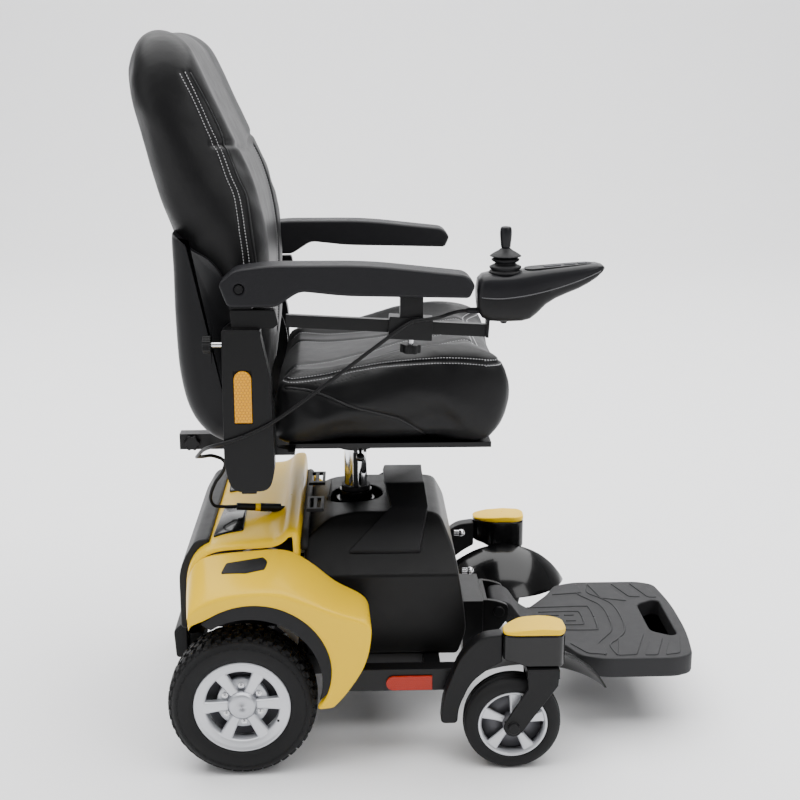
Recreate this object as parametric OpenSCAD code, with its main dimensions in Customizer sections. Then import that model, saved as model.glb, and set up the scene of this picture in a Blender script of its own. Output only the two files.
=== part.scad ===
// Power wheelchair, millimetres. Forward is +X, the left side is +Y and up is +Z.
// Outlines are drawn about the seat post's axis and the ground. The whole model is then
// moved along X, so that the origin is the bottom centre of the box round the chair.

/* [Wheels] */
// Diameter of a drive tyre
drive_d = 229; // [190:1:276]
// Width of a drive tyre
drive_w = 76; // [62:1:86]
// Distance of a drive wheel's middle from the centre plane
drive_y = 247; // [235:1:290]
// Diameter of a drive rim
drive_rim_d = 146; // [120:1:160]
// Distance of the drive axle behind the seat post
drive_back = 176; // [170:1:200]
// Diameter of the drive shaft
shaft_d = 17; // [12:0.5:22]
// Diameter of a caster tyre
caster_d = 152; // [126:1:160]
// Width of a caster tyre
caster_w = 44; // [36:1:50]
// Diameter of a caster rim
caster_rim_d = 106; // [90:1:112]
// Distance of a caster's middle from the centre plane
caster_y = 256; // [250:1:300]
// Distance of a caster's pivot ahead of the seat post
pivot_front = 280; // [270:1:330]
// Distance of a caster's axle behind its pivot
trail = 41; // [30:1:46]
// Diameter of a caster axle
axle_d = 12; // [8:0.5:16]
// Diameter of a caster stem
stem_d = 20; // [16:0.5:26]

/* [Seat] */
// Width of the seat cushion and the back
seat_w = 452; // [380:1:560]
// Height of the seat frame's top, where the cushion rests
seat_z = 508; // [500:1:620]
// Thickness of the cushion at its front crest
cushion_h = 156; // [110:1:190]
// Distance of the cushion's front ahead of the seat post
cushion_front = 240; // [220:1:300]
// Height of the back above its hinge
back_rise = 426; // [340:1:520]
// Diameter of the chrome seat post
post_d = 38; // [30:1:46]
// Lift of the seat post in its socket
post_lift = 50; // [0:1:60]

/* [Armrests] */
// Width of an armrest
arm_w = 52; // [40:1:64]
// Gap between the seat's side and an armrest
arm_gap = 11; // [9:1:30]
// Distance of the armrest's tip ahead of the seat post
arm_front = 171; // [150:1:172]
// Side of the square arm tube
arm_tube = 22; // [16:1:26]
// How far an armrest slides out
arm_slide = 50; // [0:1:60]

/* [Footplate] */
// Distance of the footplate's front ahead of the seat post
foot_front = 560; // [500:1:600]
// Width of the footplate
foot_w = 326; // [280:1:360]
// Height of the footplate's top
foot_z = 130; // [120:1:140]
// Diameter of the footplate's hinge pin
foot_pin_d = 12; // [8:0.5:16]

/* [Joystick controller] */
// Width of the controller
pod_w = 60; // [54:1:62]
// Diameter of the joystick's knob
knob_d = 17; // [14:0.5:20]
// How far the controller rail slides forward
rail_slide = 80; // [0:1:100]

/* [Hidden] */
$fn = 48;
EPS = 0.01;            // overcut, so that a cut's end face never lies on a wall's face

// Clearances
play = 0.06;           // radial clearance of a shaft in its bore
gap = 1;               // gap between faces that pass each other
wall = 4;              // wall of the plastic covers

// Wheel places
drive_x = -drive_back;
drive_z = drive_d / 2;
pivot_x = pivot_front;
caster_x = pivot_x - trail;
caster_z = caster_d / 2;
sweep_r = norm([trail + caster_d / 2, caster_w / 2]);  // circle that a swivelling caster needs

// Chassis levels
rail_z0 = 118;         // underside of the chassis tubes
rail_h = 30;           // height of the inner tubes
side_h = 36;           // height of the side rails
side_y0 = 214;         // inner face of a side rail
side_y1 = 240;         // outer face of a side rail
cover_z0 = rail_z0 + rail_h + gap;
cover_y = 178;         // half width of the battery cover
cover_top = 364;       // top of the battery cover
socket_r = 42;         // radius of the post socket's head
socket_z0 = 306;       // underside of the socket's flange
socket_top = 372;      // top of the post socket

// Casters
crown_z0 = caster_d + 5;       // underside of a fork's crown
crown_h = 15;
leg_in = caster_w / 2 + 3.5;   // inner face of a fork's leg, from the wheel's middle
leg_t = 5.5;
housing_z0 = crown_z0 + crown_h + gap;
housing_z1 = housing_z0 + 52;  // top of a caster housing, under its toe pad

// Seat
cushion_rear = -112;
pan_t = 8;
rail_top = seat_z - pan_t;
seat_rail_h = 25;
hub_z0 = seat_z - 62;          // underside of the swivel hub
post_top = hub_z0 - gap;
hinge_x = -178;
hinge_z = seat_z + 182;        // back hinge
back_y = seat_w / 2;
tube_x = -157;                 // arm tube and its receiver
tube_z = rail_top - seat_rail_h - arm_tube / 2 - 4;

// Armrests
arm_y = seat_w / 2 + arm_gap + arm_w / 2;
arm_hinge_x = -161;
arm_hinge_z = 759;
arm_r = 16;                    // tongue's radius round the armrest's pivot
tongue_w = 16;
bracket_y0 = arm_y - 8;        // inner face of the bracket's cover
bracket_y1 = arm_y + 20;       // outer face of the bracket's cover
tube_in = 150;                 // length of arm tube inside its receiver

// Controller
rail_tilt = 3.2;               // the rail droops forward, like the armrest above it
clamp_x = 80;
clamp_z = 700;
pod_y = -(arm_y - 3);
stick_x = 215;
stick_z = 764;                 // centre of the joystick's gimbal
top_x = 190;                   // rear end of the controller's sloping top
top_z = 778;
top_slope = 4.7;

// Cable
cable_d = 5.5;
cable_y = -(bracket_y1 + cable_d / 2 + 0.75);

// The model's shift along X, so that its origin is the middle of its box
back_rear = hinge_x - 148;
shift = -(foot_front + back_rear) / 2;

// ---- helpers -------------------------------------------------------------------------

function unit(v) = v / norm(v);

// One rounded corner at b, between the points a and c, that starts r before the corner.
// It takes less than half of a short edge.
function corner(a, b, c, r, n = 5) =
    r <= 0 ? [b] :
    let (q = min(r, 0.46 * norm(a - b), 0.46 * norm(c - b)),
        s = b + unit(a - b) * q, e = b + unit(c - b) * q)
    [for (i = [0:n]) let (t = i / n) (1 - t) * (1 - t) * s + 2 * t * (1 - t) * b + t * t * e];

// An outline from points [x, y, r], where r rounds that corner
function outline(p) = let (n = len(p)) [for (i = [0:n - 1])
    each corner([p[(i + n - 1) % n].x, p[(i + n - 1) % n].y], [p[i].x, p[i].y],
        [p[(i + 1) % n].x, p[(i + 1) % n].y], p[i][2])];

// Stretches an XZ outline from y0 to y1
module slab(points, y0, y1)
    translate([0, y1, 0]) rotate([90, 0, 0]) linear_extrude(y1 - y0) polygon(points);

// A 2-D child drawn in XZ, stretched from y0 to y1
module slab_of(y0, y1)
    translate([0, y1, 0]) rotate([90, 0, 0]) linear_extrude(y1 - y0) children();

// A block from its lowest to its highest corner
module block(a, b) translate(a) cube(b - a);

// A round bar along Y
module bar_y(x, z, r, y0, y1)
    translate([x, y0, z]) rotate([-90, 0, 0]) cylinder(r = r, h = y1 - y0);

// A round bar along X
module bar_x(y, z, r, x0, x1)
    translate([x0, y, z]) rotate([0, 90, 0]) cylinder(r = r, h = x1 - x0);

module both_sides() {
    children();
    mirror([0, 1, 0]) children();
}

// Right-hand pieces are drawn at -Y; the left-hand ones are their mirror image
module left() mirror([0, 1, 0]) children();

// A knob with lobes, on an axis along Z
module star_knob(r, h, bore_r)
    difference() {
        union() {
            cylinder(r = r * 0.8, h = h);
            for (i = [0:5]) rotate(i * 60) translate([r * 0.72, 0, 0]) cylinder(r = r * 0.28, h = h);
        }
        if (bore_r > 0) translate([0, 0, -EPS]) cylinder(r = bore_r, h = h + 2 * EPS);
    }

// ---- base ----------------------------------------------------------------------------

module rail_pair(x0, x1, y0, y1, z0, z1)
    both_sides() block([x0, -y1, z0], [x1, -y0, z1]);

module chassis_frame() color("#1d1d1f") {
    z0 = rail_z0;
    z1 = rail_z0 + rail_h;
    difference() {
        union() {
            // side rails under the reflectors, and the tubes between them
            rail_pair(-46, 155, side_y0, side_y1, z0, z0 + side_h);
            rail_pair(-46, -20, 165, side_y0, z0, z1);
            rail_pair(-85, 105, 140, 165, z0, z1);
            block([105, -side_y0, z0], [131, side_y0, z1]);
            block([-110, -190, z0], [-85, 190, z1 + 32]);
            // battery tray and the pedestal of the seat post
            block([-110, -165, z0 - 6], [131, 165, z0]);
            block([-40, -40, z0], [-34, 40, socket_z0 - 6]);
            block([40, -40, z0], [46, 40, socket_z0 - 6]);
            block([-socket_r - 4, -socket_r, socket_z0 - 6], [socket_r + 4, socket_r, socket_z0]);
            // rear tubes over the motors, and the bumper's cross tube
            rail_pair(-262, -110, 47, 72, z1 + 7, z1 + 32);
            // ears of the freewheel levers
            both_sides() block([lever_x - 10, -190, z1 + 31], [lever_x + 10, -182, lever_z + 9]);
            block([-270, -150, z1 + 7], [-246, 150, z1 + 32]);
            // nose that carries the footplate
            block([131, -40, z0], [178, 40, z1]);
            block([178, -62, 92], [212, 62, 190]);
        }
        translate([0, 0, socket_z0 - 10]) cylinder(d = post_d + 16 + 2 * play, h = 20);
        both_sides() bar_y(lever_x, lever_z, 4 + play, -191, -181);
    }
}

module caster_arms() color("#202022") {
    inner = pivot_x - sweep_r - 5;
    arm = outline([[inner - 28, 74, 8], [inner - 24, 118, 30], [inner + 2, 187, 26],
        [inner + 32, 217, 20], [pivot_x - 58, housing_z1 - 4, 0], [pivot_x - 58, housing_z0 + 3, 0],
        [inner + 46, housing_z0 - 8, 20], [inner + 18, 142, 20], [inner, 100, 20], [inner - 2, 74, 6]]);
    both_sides() slab(arm, -side_y1 - 26, -side_y1);
}

module housing_plan() {
    p = outline([[pivot_x - 58, -caster_y - 20, 16], [pivot_x - 40, -caster_y - 25, 12],
        [pivot_x + 30, -caster_y - 25, 12], [pivot_x + 38, -caster_y - 12, 12],
        [pivot_x + 36, -caster_y + 20, 16], [pivot_x + 20, -caster_y + 30, 12],
        [pivot_x - 30, -caster_y + 30, 14], [pivot_x - 58, -caster_y + 8, 10]]);
    polygon(p);
}

module caster_housings() color("#1b1b1d")
    both_sides() difference() {
        translate([0, 0, housing_z0]) linear_extrude(housing_z1 - housing_z0) housing_plan();
        translate([pivot_x, -caster_y, housing_z0 - EPS]) cylinder(d = stem_d + 2 * play, h = 42);
        // the underside rises towards the arm
        slab([[pivot_x - 70, housing_z0 - 1], [pivot_x - 18, housing_z0 - 1],
            [pivot_x - 40, housing_z0 + 8], [pivot_x - 70, housing_z0 + 12]], -caster_y - 40, -caster_y + 40);
    }

module toe_pads() color("#ffd400")
    both_sides() difference() {
        translate([0, 0, housing_z1]) linear_extrude(12) housing_plan();
        // crowned top
        slab([[pivot_x - 70, housing_z1 + 13], [pivot_x - 70, housing_z1 + 2], [pivot_x - 30, housing_z1 + 9],
            [pivot_x, housing_z1 + 11], [pivot_x + 50, housing_z1 + 8], [pivot_x + 50, housing_z1 + 13]],
            -caster_y - 40, -caster_y + 40);
    }

guard_r = sweep_r + 15;
guard_z = housing_z1 - 39 - guard_r;   // centre of the guard's sphere
module caster_guards() color("#141416")
    both_sides() difference() {
        translate([pivot_x - 4, -caster_y, guard_z]) sphere(r = guard_r, $fn = 96);
        translate([pivot_x - 4, -caster_y, guard_z]) sphere(r = guard_r - 3, $fn = 96);
        block([-100, -600, -400], [600, 0, 110]);
        // open on the outside, where the fork and the arm are
        block([-100, -600, 0], [600, -caster_y + 30, 400]);
        // clear of the footplate's nose
        block([-100, -122, 0], [600, 0, 400]);
    }

module cover_shape(t) {
    side = outline([[-82 + t, cover_z0 - (t > 0 ? 1 : 0), 0], [-82 + t, 330 - t, 12], [-40 + t, cover_top - 6 - t, 12],
        [0, cover_top - t, 10], [114, cover_top - t, 10], [136 - t, cover_top - 4 - t, 12], [157 - t, 312, 20],
        [170 - t, 230, 20], [174 - t, 187, 14], [161 - t, cover_z0 - (t > 0 ? 1 : 0), 0]]);
    front = [[-172 + t, cover_z0 - 2], [-cover_y + t, 284 - t / 2], [-100 + t / 2, cover_top - t],
        [100 - t / 2, cover_top - t], [cover_y - t, 284 - t / 2], [172 - t, cover_z0 - 2]];
    intersection() {
        slab(side, -200, 200);
        rotate([90, 0, 90]) translate([0, 0, -150]) linear_extrude(400) polygon(front);
    }
}

module battery_cover() color("#232325")
    difference() {
        cover_shape(0);
        cover_shape(wall);
        translate([0, 0, cover_top - 30]) cylinder(r = socket_r + 3, h = 60);
    }

module batteries() color("#3a3a3e")
    both_sides() difference() {
        block([-76, -127, rail_z0], [101, -50, rail_z0 + 167]);
        block([-70, -110, rail_z0 + 160], [-40, -67, rail_z0 + 168]);
        block([60, -110, rail_z0 + 160], [90, -67, rail_z0 + 168]);
    }

// The angular cover that saddles the battery cover in front of the post, and two vent plates
module column_cover() color("#2e2e31") {
    band = [[-152, 312], [-100, cover_top - 2], [-48, cover_top + 26], [48, cover_top + 26], [100, cover_top - 2],
        [152, 312], [154, 318], [102, cover_top + 6], [50, cover_top + 32], [-50, cover_top + 32],
        [-102, cover_top + 6], [-154, 318]];
    plan = [[socket_r + 4, -30], [socket_r + 8, -60], [58, -98], [-14, -156], [100, -156], [116, -98], [112, -40],
        [112, 40], [116, 98], [100, 156], [-14, 156], [58, 98], [socket_r + 8, 60], [socket_r + 4, 30]];
    difference() {
        intersection() {
            rotate([90, 0, 90]) translate([0, 0, -40]) linear_extrude(200) polygon(band);
            translate([0, 0, 250]) linear_extrude(200) polygon(plan);
        }
        cover_shape(0);
    }
    both_sides() difference() {
        block([-80, -100, cover_top + 0.5], [-52, -36, cover_top + 6]);
        for (i = [0:1]) block([-75 + i * 12, -92, cover_top - 1], [-69 + i * 12, -46, cover_top + 9]);
    }
}

module post_socket() color("#151517")
    difference() {
        union() {
            translate([0, 0, rail_z0 + 70]) cylinder(d = post_d + 16, h = socket_top - rail_z0 - 70);
            translate([0, 0, socket_z0]) cylinder(r = socket_r, h = 10);
            translate([0, 0, socket_z0 + 10]) cylinder(r = socket_r - 10, h = 40);
        }
        translate([0, 0, rail_z0 + 60]) cylinder(d = post_d + 2 * play, h = 400);
        for (i = [0:3]) rotate(45 + i * 90) translate([socket_r - 5, 0, socket_z0 - 1]) cylinder(d = 5, h = 12);
    }

// Wheel arch: gap over the tyre at an angle, highest a little ahead of the top
function arch(peak, fall, a0, a1, n = 30) = [for (i = [0:n]) let (a = a0 + (a1 - a0) * i / n,
    r = drive_d / 2 + peak - fall * (a - 68) * (a - 68))
    [drive_x + r * cos(a), drive_z + r * sin(a)]];

fender_y = 290;        // outer face of the fenders
arch_peak = 61;
arch_fall = 0.0127;

module fender_half(t) {
    // outer lip and the shoulder inboard of it
    lip = [[-236 + t, 254], [-200 + t, 284 - t], [-150, 296 - t], [-90, 286 - t], [-10 - t, 236 - t], [12 - t, 188],
        [0 - t, 142], [-36, 114 + t]];
    shoulder = [[-246 + t, 230], [-246 + t, 300 - t], [-222 + t, 330 - t], [-86 - t, 340 - t], [-66 - t, 312 - t],
        [-24 - t, 276 - t], [16 - t, 232 - t], [12 - t, 188], [-30, 130 + t]];
    hull() {
        slab(lip, -fender_y + t, -fender_y + t + 2);
        slab(shoulder, -215 - t, -213 - t);
    }
}

module deck_shape(t) {
    side = outline([[-262 + t, 205, 0], [-262 + t, 300, 24], [-240 + t, 340 - t, 22], [-190, 352 - t, 14],
        [-88, 352 - t, 0], [-88, 205, 0]]);
    slab(side, -213 + t, 213 - t);
}

module vent_blocks() {
    // louvres in the sides and dark panels in the top
    both_sides() {
        translate([-172, -232, 318]) rotate([-28, 0, 0]) block([-35, -6, -11], [35, 6, 1]);
        block([-214, -150, 342], [-184, -60, 351]);
    }
}

module rear_shroud() color("#ffcf00")
    difference() {
        union() {
            both_sides() fender_half(0);
            deck_shape(0);
        }
        both_sides() fender_half(wall);
        difference() {
            translate([wall, 0, -EPS]) deck_shape(wall);
            block([-300, -300, 348], [0, 300, 400]);
        }
        block([-120, -209, 205], [-80, 209, 342]);
        both_sides() slab(concat([[drive_x, drive_z]], arch(arch_peak, arch_fall, -6, 150)), -300, -200);
        both_sides() block([-300, -205, 100], [100, -100, 206]);
        both_sides() block([-300, -216, 216], [-92, -196, 336]);
        both_sides() block([-60, -250, 100], [30, -200, 400]);
        cover_clear();
        vent_blocks();
    }

// Room for the battery cover in front of the shroud
module cover_clear() block([-86, -200, 100], [200, 200, 500]);

module shroud_vents() color("#19191b") vent_blocks();

module rear_panel() color("#2b2b2d")
    slab(outline([[-262, 204, 0], [-262, 300, 24], [-240, 340, 20], [-226, 344, 0], [-228, 353, 6],
        [-250, 349, 18], [-276, 304, 22], [-276, 204, 6]]), -186, 186);

module base_reflectors() color("#f0561e") {
    both_sides() slab_of(-side_y1 - 4, -side_y1) {
        translate([56, 132]) circle(r = 11.5);
        translate([56, 120.5]) square([60, 23]);
    }
    both_sides() block([-280, -150, 214], [-276, -92, 266]);
}

module arch_trims() color("#303033") {
    outer = arch(arch_peak - 0.4, arch_fall, 10, 112);
    inner = arch(arch_peak - 26, 0.0079, 6, 108);
    both_sides() slab(concat(outer, [for (i = [len(inner) - 1:-1:0]) inner[i]]), -fender_y + 2, -fender_y + 8);
}

module drive_motors() color("#55565a")
    both_sides() difference() {
        union() {
            block([drive_x - 40, -188, drive_z - 38], [drive_x + 40, -150, drive_z + 34]);
            bar_y(drive_x, drive_z, 32, -150, -18);
            bar_y(drive_x, drive_z, 20, -196, -188);
            // bracket to the chassis' cross tube
            block([drive_x + 40, -184, drive_z + 6], [-110, -154, drive_z + 34]);
        }
        bar_y(drive_x, drive_z, shaft_d / 2 + play, -200, -160);
    }

module rear_bumper() color("#3b3b3e")
    slab(outline([[-270, 150, 0], [-270, 203.5, 4], [-276, 202, 4], [-292, 188, 6], [-289, 142, 5], [-276, 142, 3]]),
        -160, 160);

module control_module() color("#4a4b50")
    difference() {
        block([-232, -60, rail_z0 + rail_h + 32], [-112, 60, rail_z0 + rail_h + 74]);
        for (i = [0:6]) block([-224 + i * 16, -50, rail_z0 + rail_h + 66], [-216 + i * 16, 50, rail_z0 + rail_h + 75]);
    }

foot_hinge_x = 240;
foot_hinge_z = 165;
module footplate_bracket() color("#1a1a1c") {
    difference() {
        union() {
            block([212, -48, 100], [220, 48, 186]);
            both_sides() slab(outline([[220, 120, 0], [220, 186, 0], [236, 184, 8], [256, 176, 8], [256, 152, 8],
                [232, 120, 6]]), -48, -40);
        }
        bar_y(foot_hinge_x, foot_hinge_z, foot_pin_d / 2, -60, 60);
    }
    // hinge pin with its heads
    bar_y(foot_hinge_x, foot_hinge_z, foot_pin_d / 2, -48, 48);
    both_sides() bar_y(foot_hinge_x, foot_hinge_z, foot_pin_d / 2 + 3, -52, -48);
}

module base_bolts() color("#c8c9cc") {
    // dome nuts that hold the battery case
    both_sides() {
        bar_x(-90, 256, 5, 173, 186);
        translate([186, -90, 256]) sphere(r = 6.5);
    }
    // bolts of the post socket's flange
    for (i = [0:3]) rotate(45 + i * 90) translate([socket_r - 5, 0, socket_z0]) {
        cylinder(d = 5, h = 11);
        translate([0, 0, 10]) cylinder(d = 9, h = 4, $fn = 6);
    }
}

lever_x = -100;
lever_z = 190;
module freewheel_lever_r() color("#b9babd") {
    bar_y(lever_x, lever_z, 4, -206, -182);
    slab(outline([[lever_x - 8, lever_z - 8, 4], [lever_x + 8, lever_z - 8, 4], [lever_x + 9, lever_z + 14, 4],
        [lever_x - 18, lever_z + 36, 6], [lever_x - 26, lever_z + 24, 5], [lever_x - 8, lever_z + 10, 4]]), -206, -200);
}

// ---- wheels --------------------------------------------------------------------------

// A tyre's half outline: bore, side walls and rounded tread
function tyre_profile(d, w, bore, bulge) = outline([[bore / 2, -w / 2 + bulge, 2], [bore / 2 + 8, -w / 2 + 1, 5],
    [d / 2 - w * 0.22, -w / 2, 6], [d / 2, -w * 0.32, 8], [d / 2, w * 0.32, 8], [d / 2 - w * 0.22, w / 2, 6],
    [bore / 2 + 8, w / 2 - 1, 5], [bore / 2, w / 2 - bulge, 2]]);

module tyre_at(x, y, z, d, w, bore, bulge)
    translate([x, -y, z]) rotate([90, 0, 0]) rotate_extrude($fn = 96) polygon(tyre_profile(d, w, bore, bulge));

module drive_tyre_r() color("#1c1c1d") tyre_at(drive_x, drive_y, drive_z, drive_d, drive_w, drive_rim_d, 6);

module drive_rim_r() {
    r = drive_rim_d / 2;
    face = drive_w / 2 - 6;    // the rim's outer face, from the wheel's middle
    color("#c4c6ca") translate([drive_x, -drive_y, drive_z]) rotate([90, 0, 0]) {
        difference() {
            translate([0, 0, -face]) cylinder(r = r, h = 2 * face, $fn = 96);
            translate([0, 0, -face - 1]) cylinder(r = r - 8, h = 2 * face + 2, $fn = 96);
        }
        translate([0, 0, face - 26]) cylinder(r = 38, h = 12);
        for (i = [0:5]) rotate(i * 60 + 3) translate([18, -6.5, face - 16]) cube([r - 24, 13, 10.5]);
        // hub, its cap and the wheel bolts
        translate([0, 0, face - 24]) cylinder(r = 22, h = 20);
        translate([0, 0, face - 5]) cylinder(r = 20.5, h = 5);
        for (i = [0:5]) rotate(i * 60 + 33) translate([30, 0, face - 15]) cylinder(r = 5, h = 6, $fn = 6);
    }
    // drive shaft
    color("#8d8e92") bar_y(drive_x, drive_z, shaft_d / 2, -drive_y - 14, -163);
}

module caster_fork_r() color("#232325") {
    difference() {
        union() {
            block([pivot_x - 22, -caster_y - leg_in - leg_t, crown_z0],
                [pivot_x + 28, -caster_y + leg_in + leg_t, crown_z0 + crown_h]);
            for (s = [-1, 1]) slab_of(-caster_y + s * (leg_in + leg_t / 2) - leg_t / 2,
                    -caster_y + s * (leg_in + leg_t / 2) + leg_t / 2) {
                polygon([[pivot_x - 22, crown_z0 + crown_h], [pivot_x + 28, crown_z0 + crown_h],
                    [pivot_x + 26, crown_z0 - 12], [caster_x + 13, caster_z - 8], [caster_x - 13, caster_z + 8],
                    [pivot_x - 20, crown_z0 - 16]]);
                translate([caster_x, caster_z]) circle(r = 15);
            }
        }
        bar_y(caster_x, caster_z, axle_d / 2, -caster_y - 60, -caster_y + 60);
    }
    translate([pivot_x, -caster_y, crown_z0 + crown_h]) cylinder(d = stem_d, h = 40);
    // axle bolt with its heads
    bar_y(caster_x, caster_z, axle_d / 2, -caster_y - leg_in - leg_t, -caster_y + leg_in + leg_t);
    for (s = [-1, 1]) translate([caster_x, -caster_y + s * (leg_in + leg_t + 2.5), caster_z])
        rotate([90, 0, 0]) cylinder(r = 9, h = 5, center = true);
}

module caster_tyre_r() color("#1e1e1f") tyre_at(caster_x, caster_y, caster_z, caster_d, caster_w, caster_rim_d, 3);

module caster_rim_r() color("#b9bbbf")
    translate([caster_x, -caster_y, caster_z]) rotate([90, 0, 0]) difference() {
        union() {
            difference() {
                cylinder(d = caster_rim_d, h = caster_w - 6, center = true, $fn = 96);
                cylinder(d = caster_rim_d - 10, h = caster_w, center = true, $fn = 96);
            }
            cylinder(r = 16, h = caster_w + 1, center = true);
            for (i = [0:4]) rotate(i * 72 + 14) translate([12, -7, -caster_w / 2 + 5])
                cube([caster_rim_d / 2 - 16, 14, caster_w - 10]);
        }
        cylinder(d = axle_d + 2 * play, h = caster_w + 10, center = true);
    }

// ---- footplate -----------------------------------------------------------------------

module foot_plan(t) {
    h = foot_w / 2;
    polygon(outline([[300 + t, -44 + t, 0], [342 + t, -104 + t, 14], [362, -h + 16 + t, 12], [400, -h + t, 16],
        [foot_front - 40, -h + t, 22], [foot_front - 12 - t, -h + 14 + t, 14], [foot_front - t, -60, 60],
        [foot_front - t, 60, 60], [foot_front - 12 - t, h - 14 - t, 14], [foot_front - 40, h - t, 22],
        [400, h - t, 16], [362, h - 16 - t, 12], [342 + t, 104 - t, 14], [300 + t, 44 - t, 0]]));
}

module footplate() color("#2f2f31")
    difference() {
        union() {
            difference() {
                translate([0, 0, foot_z - 34]) linear_extrude(34) foot_plan(0);
                translate([0, 0, foot_z - 35]) linear_extrude(27) foot_plan(6);
            }
            // neck up to the hinge
            slab(outline([[300, foot_z - 34, 0], [308, foot_z - 34, 0], [308, foot_z, 0], [282, foot_z + 14, 12],
                [262, foot_hinge_z + 8, 8], [248, foot_hinge_z + 15, 6], [228, foot_hinge_z + 12, 8],
                [226, foot_hinge_z - 8, 6], [246, foot_hinge_z - 14, 8], [272, foot_z - 14, 12]]), -38, 38);
            // rim of the finger slot
            translate([0, 0, foot_z - 30]) linear_extrude(24) slot_plan(5);
        }
        translate([0, 0, foot_z - 40]) linear_extrude(60) slot_plan(0);
        bar_y(foot_hinge_x, foot_hinge_z, foot_pin_d / 2 + play, -60, 60);
    }

module slot_plan(t)
    polygon(outline([[foot_front - 62 - t, -56 - t, 12], [foot_front - 30, -76 - t, 10], [foot_front - 20 + t, -70 - t, 8],
        [foot_front - 20 + t, 70 + t, 8], [foot_front - 30, 76 + t, 10], [foot_front - 62 - t, 56 + t, 12]]));

// ---- seat ----------------------------------------------------------------------------

module seat_post() {
    color("#d5d7da") difference() {
        translate([0, 0, socket_top - 130]) cylinder(d = post_d, h = post_top - socket_top + 130);
        translate([0, 0, socket_top - 131]) cylinder(d = post_d - 6, h = post_top - socket_top + 121);
        block([-4, -post_d / 2 - 1, socket_top + 8], [4, -post_d / 2 + 1.5, post_top - 6]);
    }
    // height strip and the collar that stops the post in its socket
    color("#1a1a1c") block([-3.5, -post_d / 2 - 1, socket_top + 8.5], [3.5, -post_d / 2 + 1.5, post_top - 6.5]);
    color("#2a2a2c") translate([0, 0, socket_top + 0.5]) difference() {
        cylinder(d = post_d + 10, h = 7);
        translate([0, 0, -1]) cylinder(d = post_d, h = 9);
    }
}

module seat_frame() color("#1c1c1e") {
    difference() {
        union() {
            // two rails, a front stop block on each, and the cushion's steel pan
            both_sides() block([-276, -112, rail_top - seat_rail_h], [98, -88, rail_top]);
            block([-100, -200, rail_top], [206, 200, seat_z]);
            // swivel hub and its cross plate
            block([-45, -88, rail_top - 14], [45, 88, rail_top]);
            translate([0, 0, hub_z0]) cylinder(r = 31, h = rail_top - hub_z0);
            // receiver of the arm tubes
            block([tube_x - arm_tube / 2 - 3, -180, tube_z - arm_tube / 2 - 3],
                [tube_x + arm_tube / 2 + 3, 180, rail_top - seat_rail_h]);
            // brackets of the back's hinge
            both_sides() slab(outline([[-136, rail_top, 0], [-100, rail_top, 0], [-100, seat_z, 0],
                [-116, seat_z + 4, 0], [-122, hinge_z - 80, 30], [hinge_x + 14, hinge_z, 12], [hinge_x, hinge_z + 14, 12],
                [hinge_x - 14, hinge_z, 12], [-140, seat_z + 40, 20]]), -back_y - 5.5, -back_y - 0.5);
            both_sides() block([-136, -back_y - 5.5, rail_top], [-90, -195, rail_top + 5]);
            // ears of the swivel lever's pivot
            for (x = [swivel_x - 10, swivel_x + 5.3]) block([x, swivel_y - 5, hub_z0 + 1], [x + 4.7, -24, hub_z0 + 15]);
        }
        translate([0, 0, hub_z0 - 1]) cylinder(d = 10, h = 20);
        bar_x(swivel_y, swivel_z, 2 + play, swivel_x - 11, swivel_x + 11);
        tube_bore();
        both_sides() bar_y(hinge_x, hinge_z, 6 + play, -back_y - 8, -back_y + 2);
    }
    // lock knob of the rear accessory socket
    translate([-256, -111, rail_top - 13]) rotate([90, 0, 0]) star_knob(12, 11, 0);
}

// Square bore of the arm receiver, with a sliding clearance
module tube_bore() {
    c = 0.4;
    block([tube_x - arm_tube / 2 - c, -181, tube_z - arm_tube / 2 - c],
        [tube_x + arm_tube / 2 + c, 181, tube_z + arm_tube / 2 + c]);
}

swivel_x = 8;
swivel_y = -38;
swivel_z = hub_z0 + 8;
module swivel_lever() color("#17171a") {
    translate([swivel_x, 0, swivel_z]) {
        block([-5, -48, -3], [5, -33, 3]);
        bar_y(0, 0, 2.5, -92, -47);
        translate([0, -95, 0]) sphere(r = 7);
    }
    // pivot pin
    bar_x(swivel_y, swivel_z, 2, swivel_x - 10, swivel_x + 10);
}

module seat_cushion() color("#2a2a2c") {
    z = seat_z + 0.3;
    slab(outline([[cushion_rear, z, 12], [cushion_rear, z + cushion_h - 36, 18], [-20, z + cushion_h - 26, 40],
        [100, z + cushion_h - 8, 40], [184, z + cushion_h, 26], [cushion_front - 12, z + cushion_h - 10, 18],
        [cushion_front, z + cushion_h - 46, 30], [cushion_front - 4, z + 70, 20], [cushion_front - 30, z + 16, 18],
        [200, z + 16, 4], [200, z, 0]]), -seat_w / 2, seat_w / 2);
}

// The back's side outline; heights are shares of its rise above the hinge
function back_side(f) = let (h = back_rise, x = hinge_x, z = hinge_z) [
    [x + 48, z - 100, 20], [x + 56, z + 10, 40], [x + 52, z + h * 0.34, 60], [x + 36, z + h * 0.5, 30],
    [x + 8, z + h * 0.64, 60], [x - 44, z + h * 0.9, 30], [x - 66, z + h * 0.985, 18], [x - 96, z + h, 22],
    [x - 128, z + h * 0.985, 24], [x - 148, z + h * 0.93, 26], [x - 148, z + h * 0.86, 26], [x - 128, z + h * 0.72, 40],
    [x - 86 + f, z + h * 0.32, 40], [x - 76 + f, z + h * 0.12, 30], [x - 76 + f, z - 110, 20], [x, z - 170, 20],
    [x + 40, z - 160, 16]];

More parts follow.
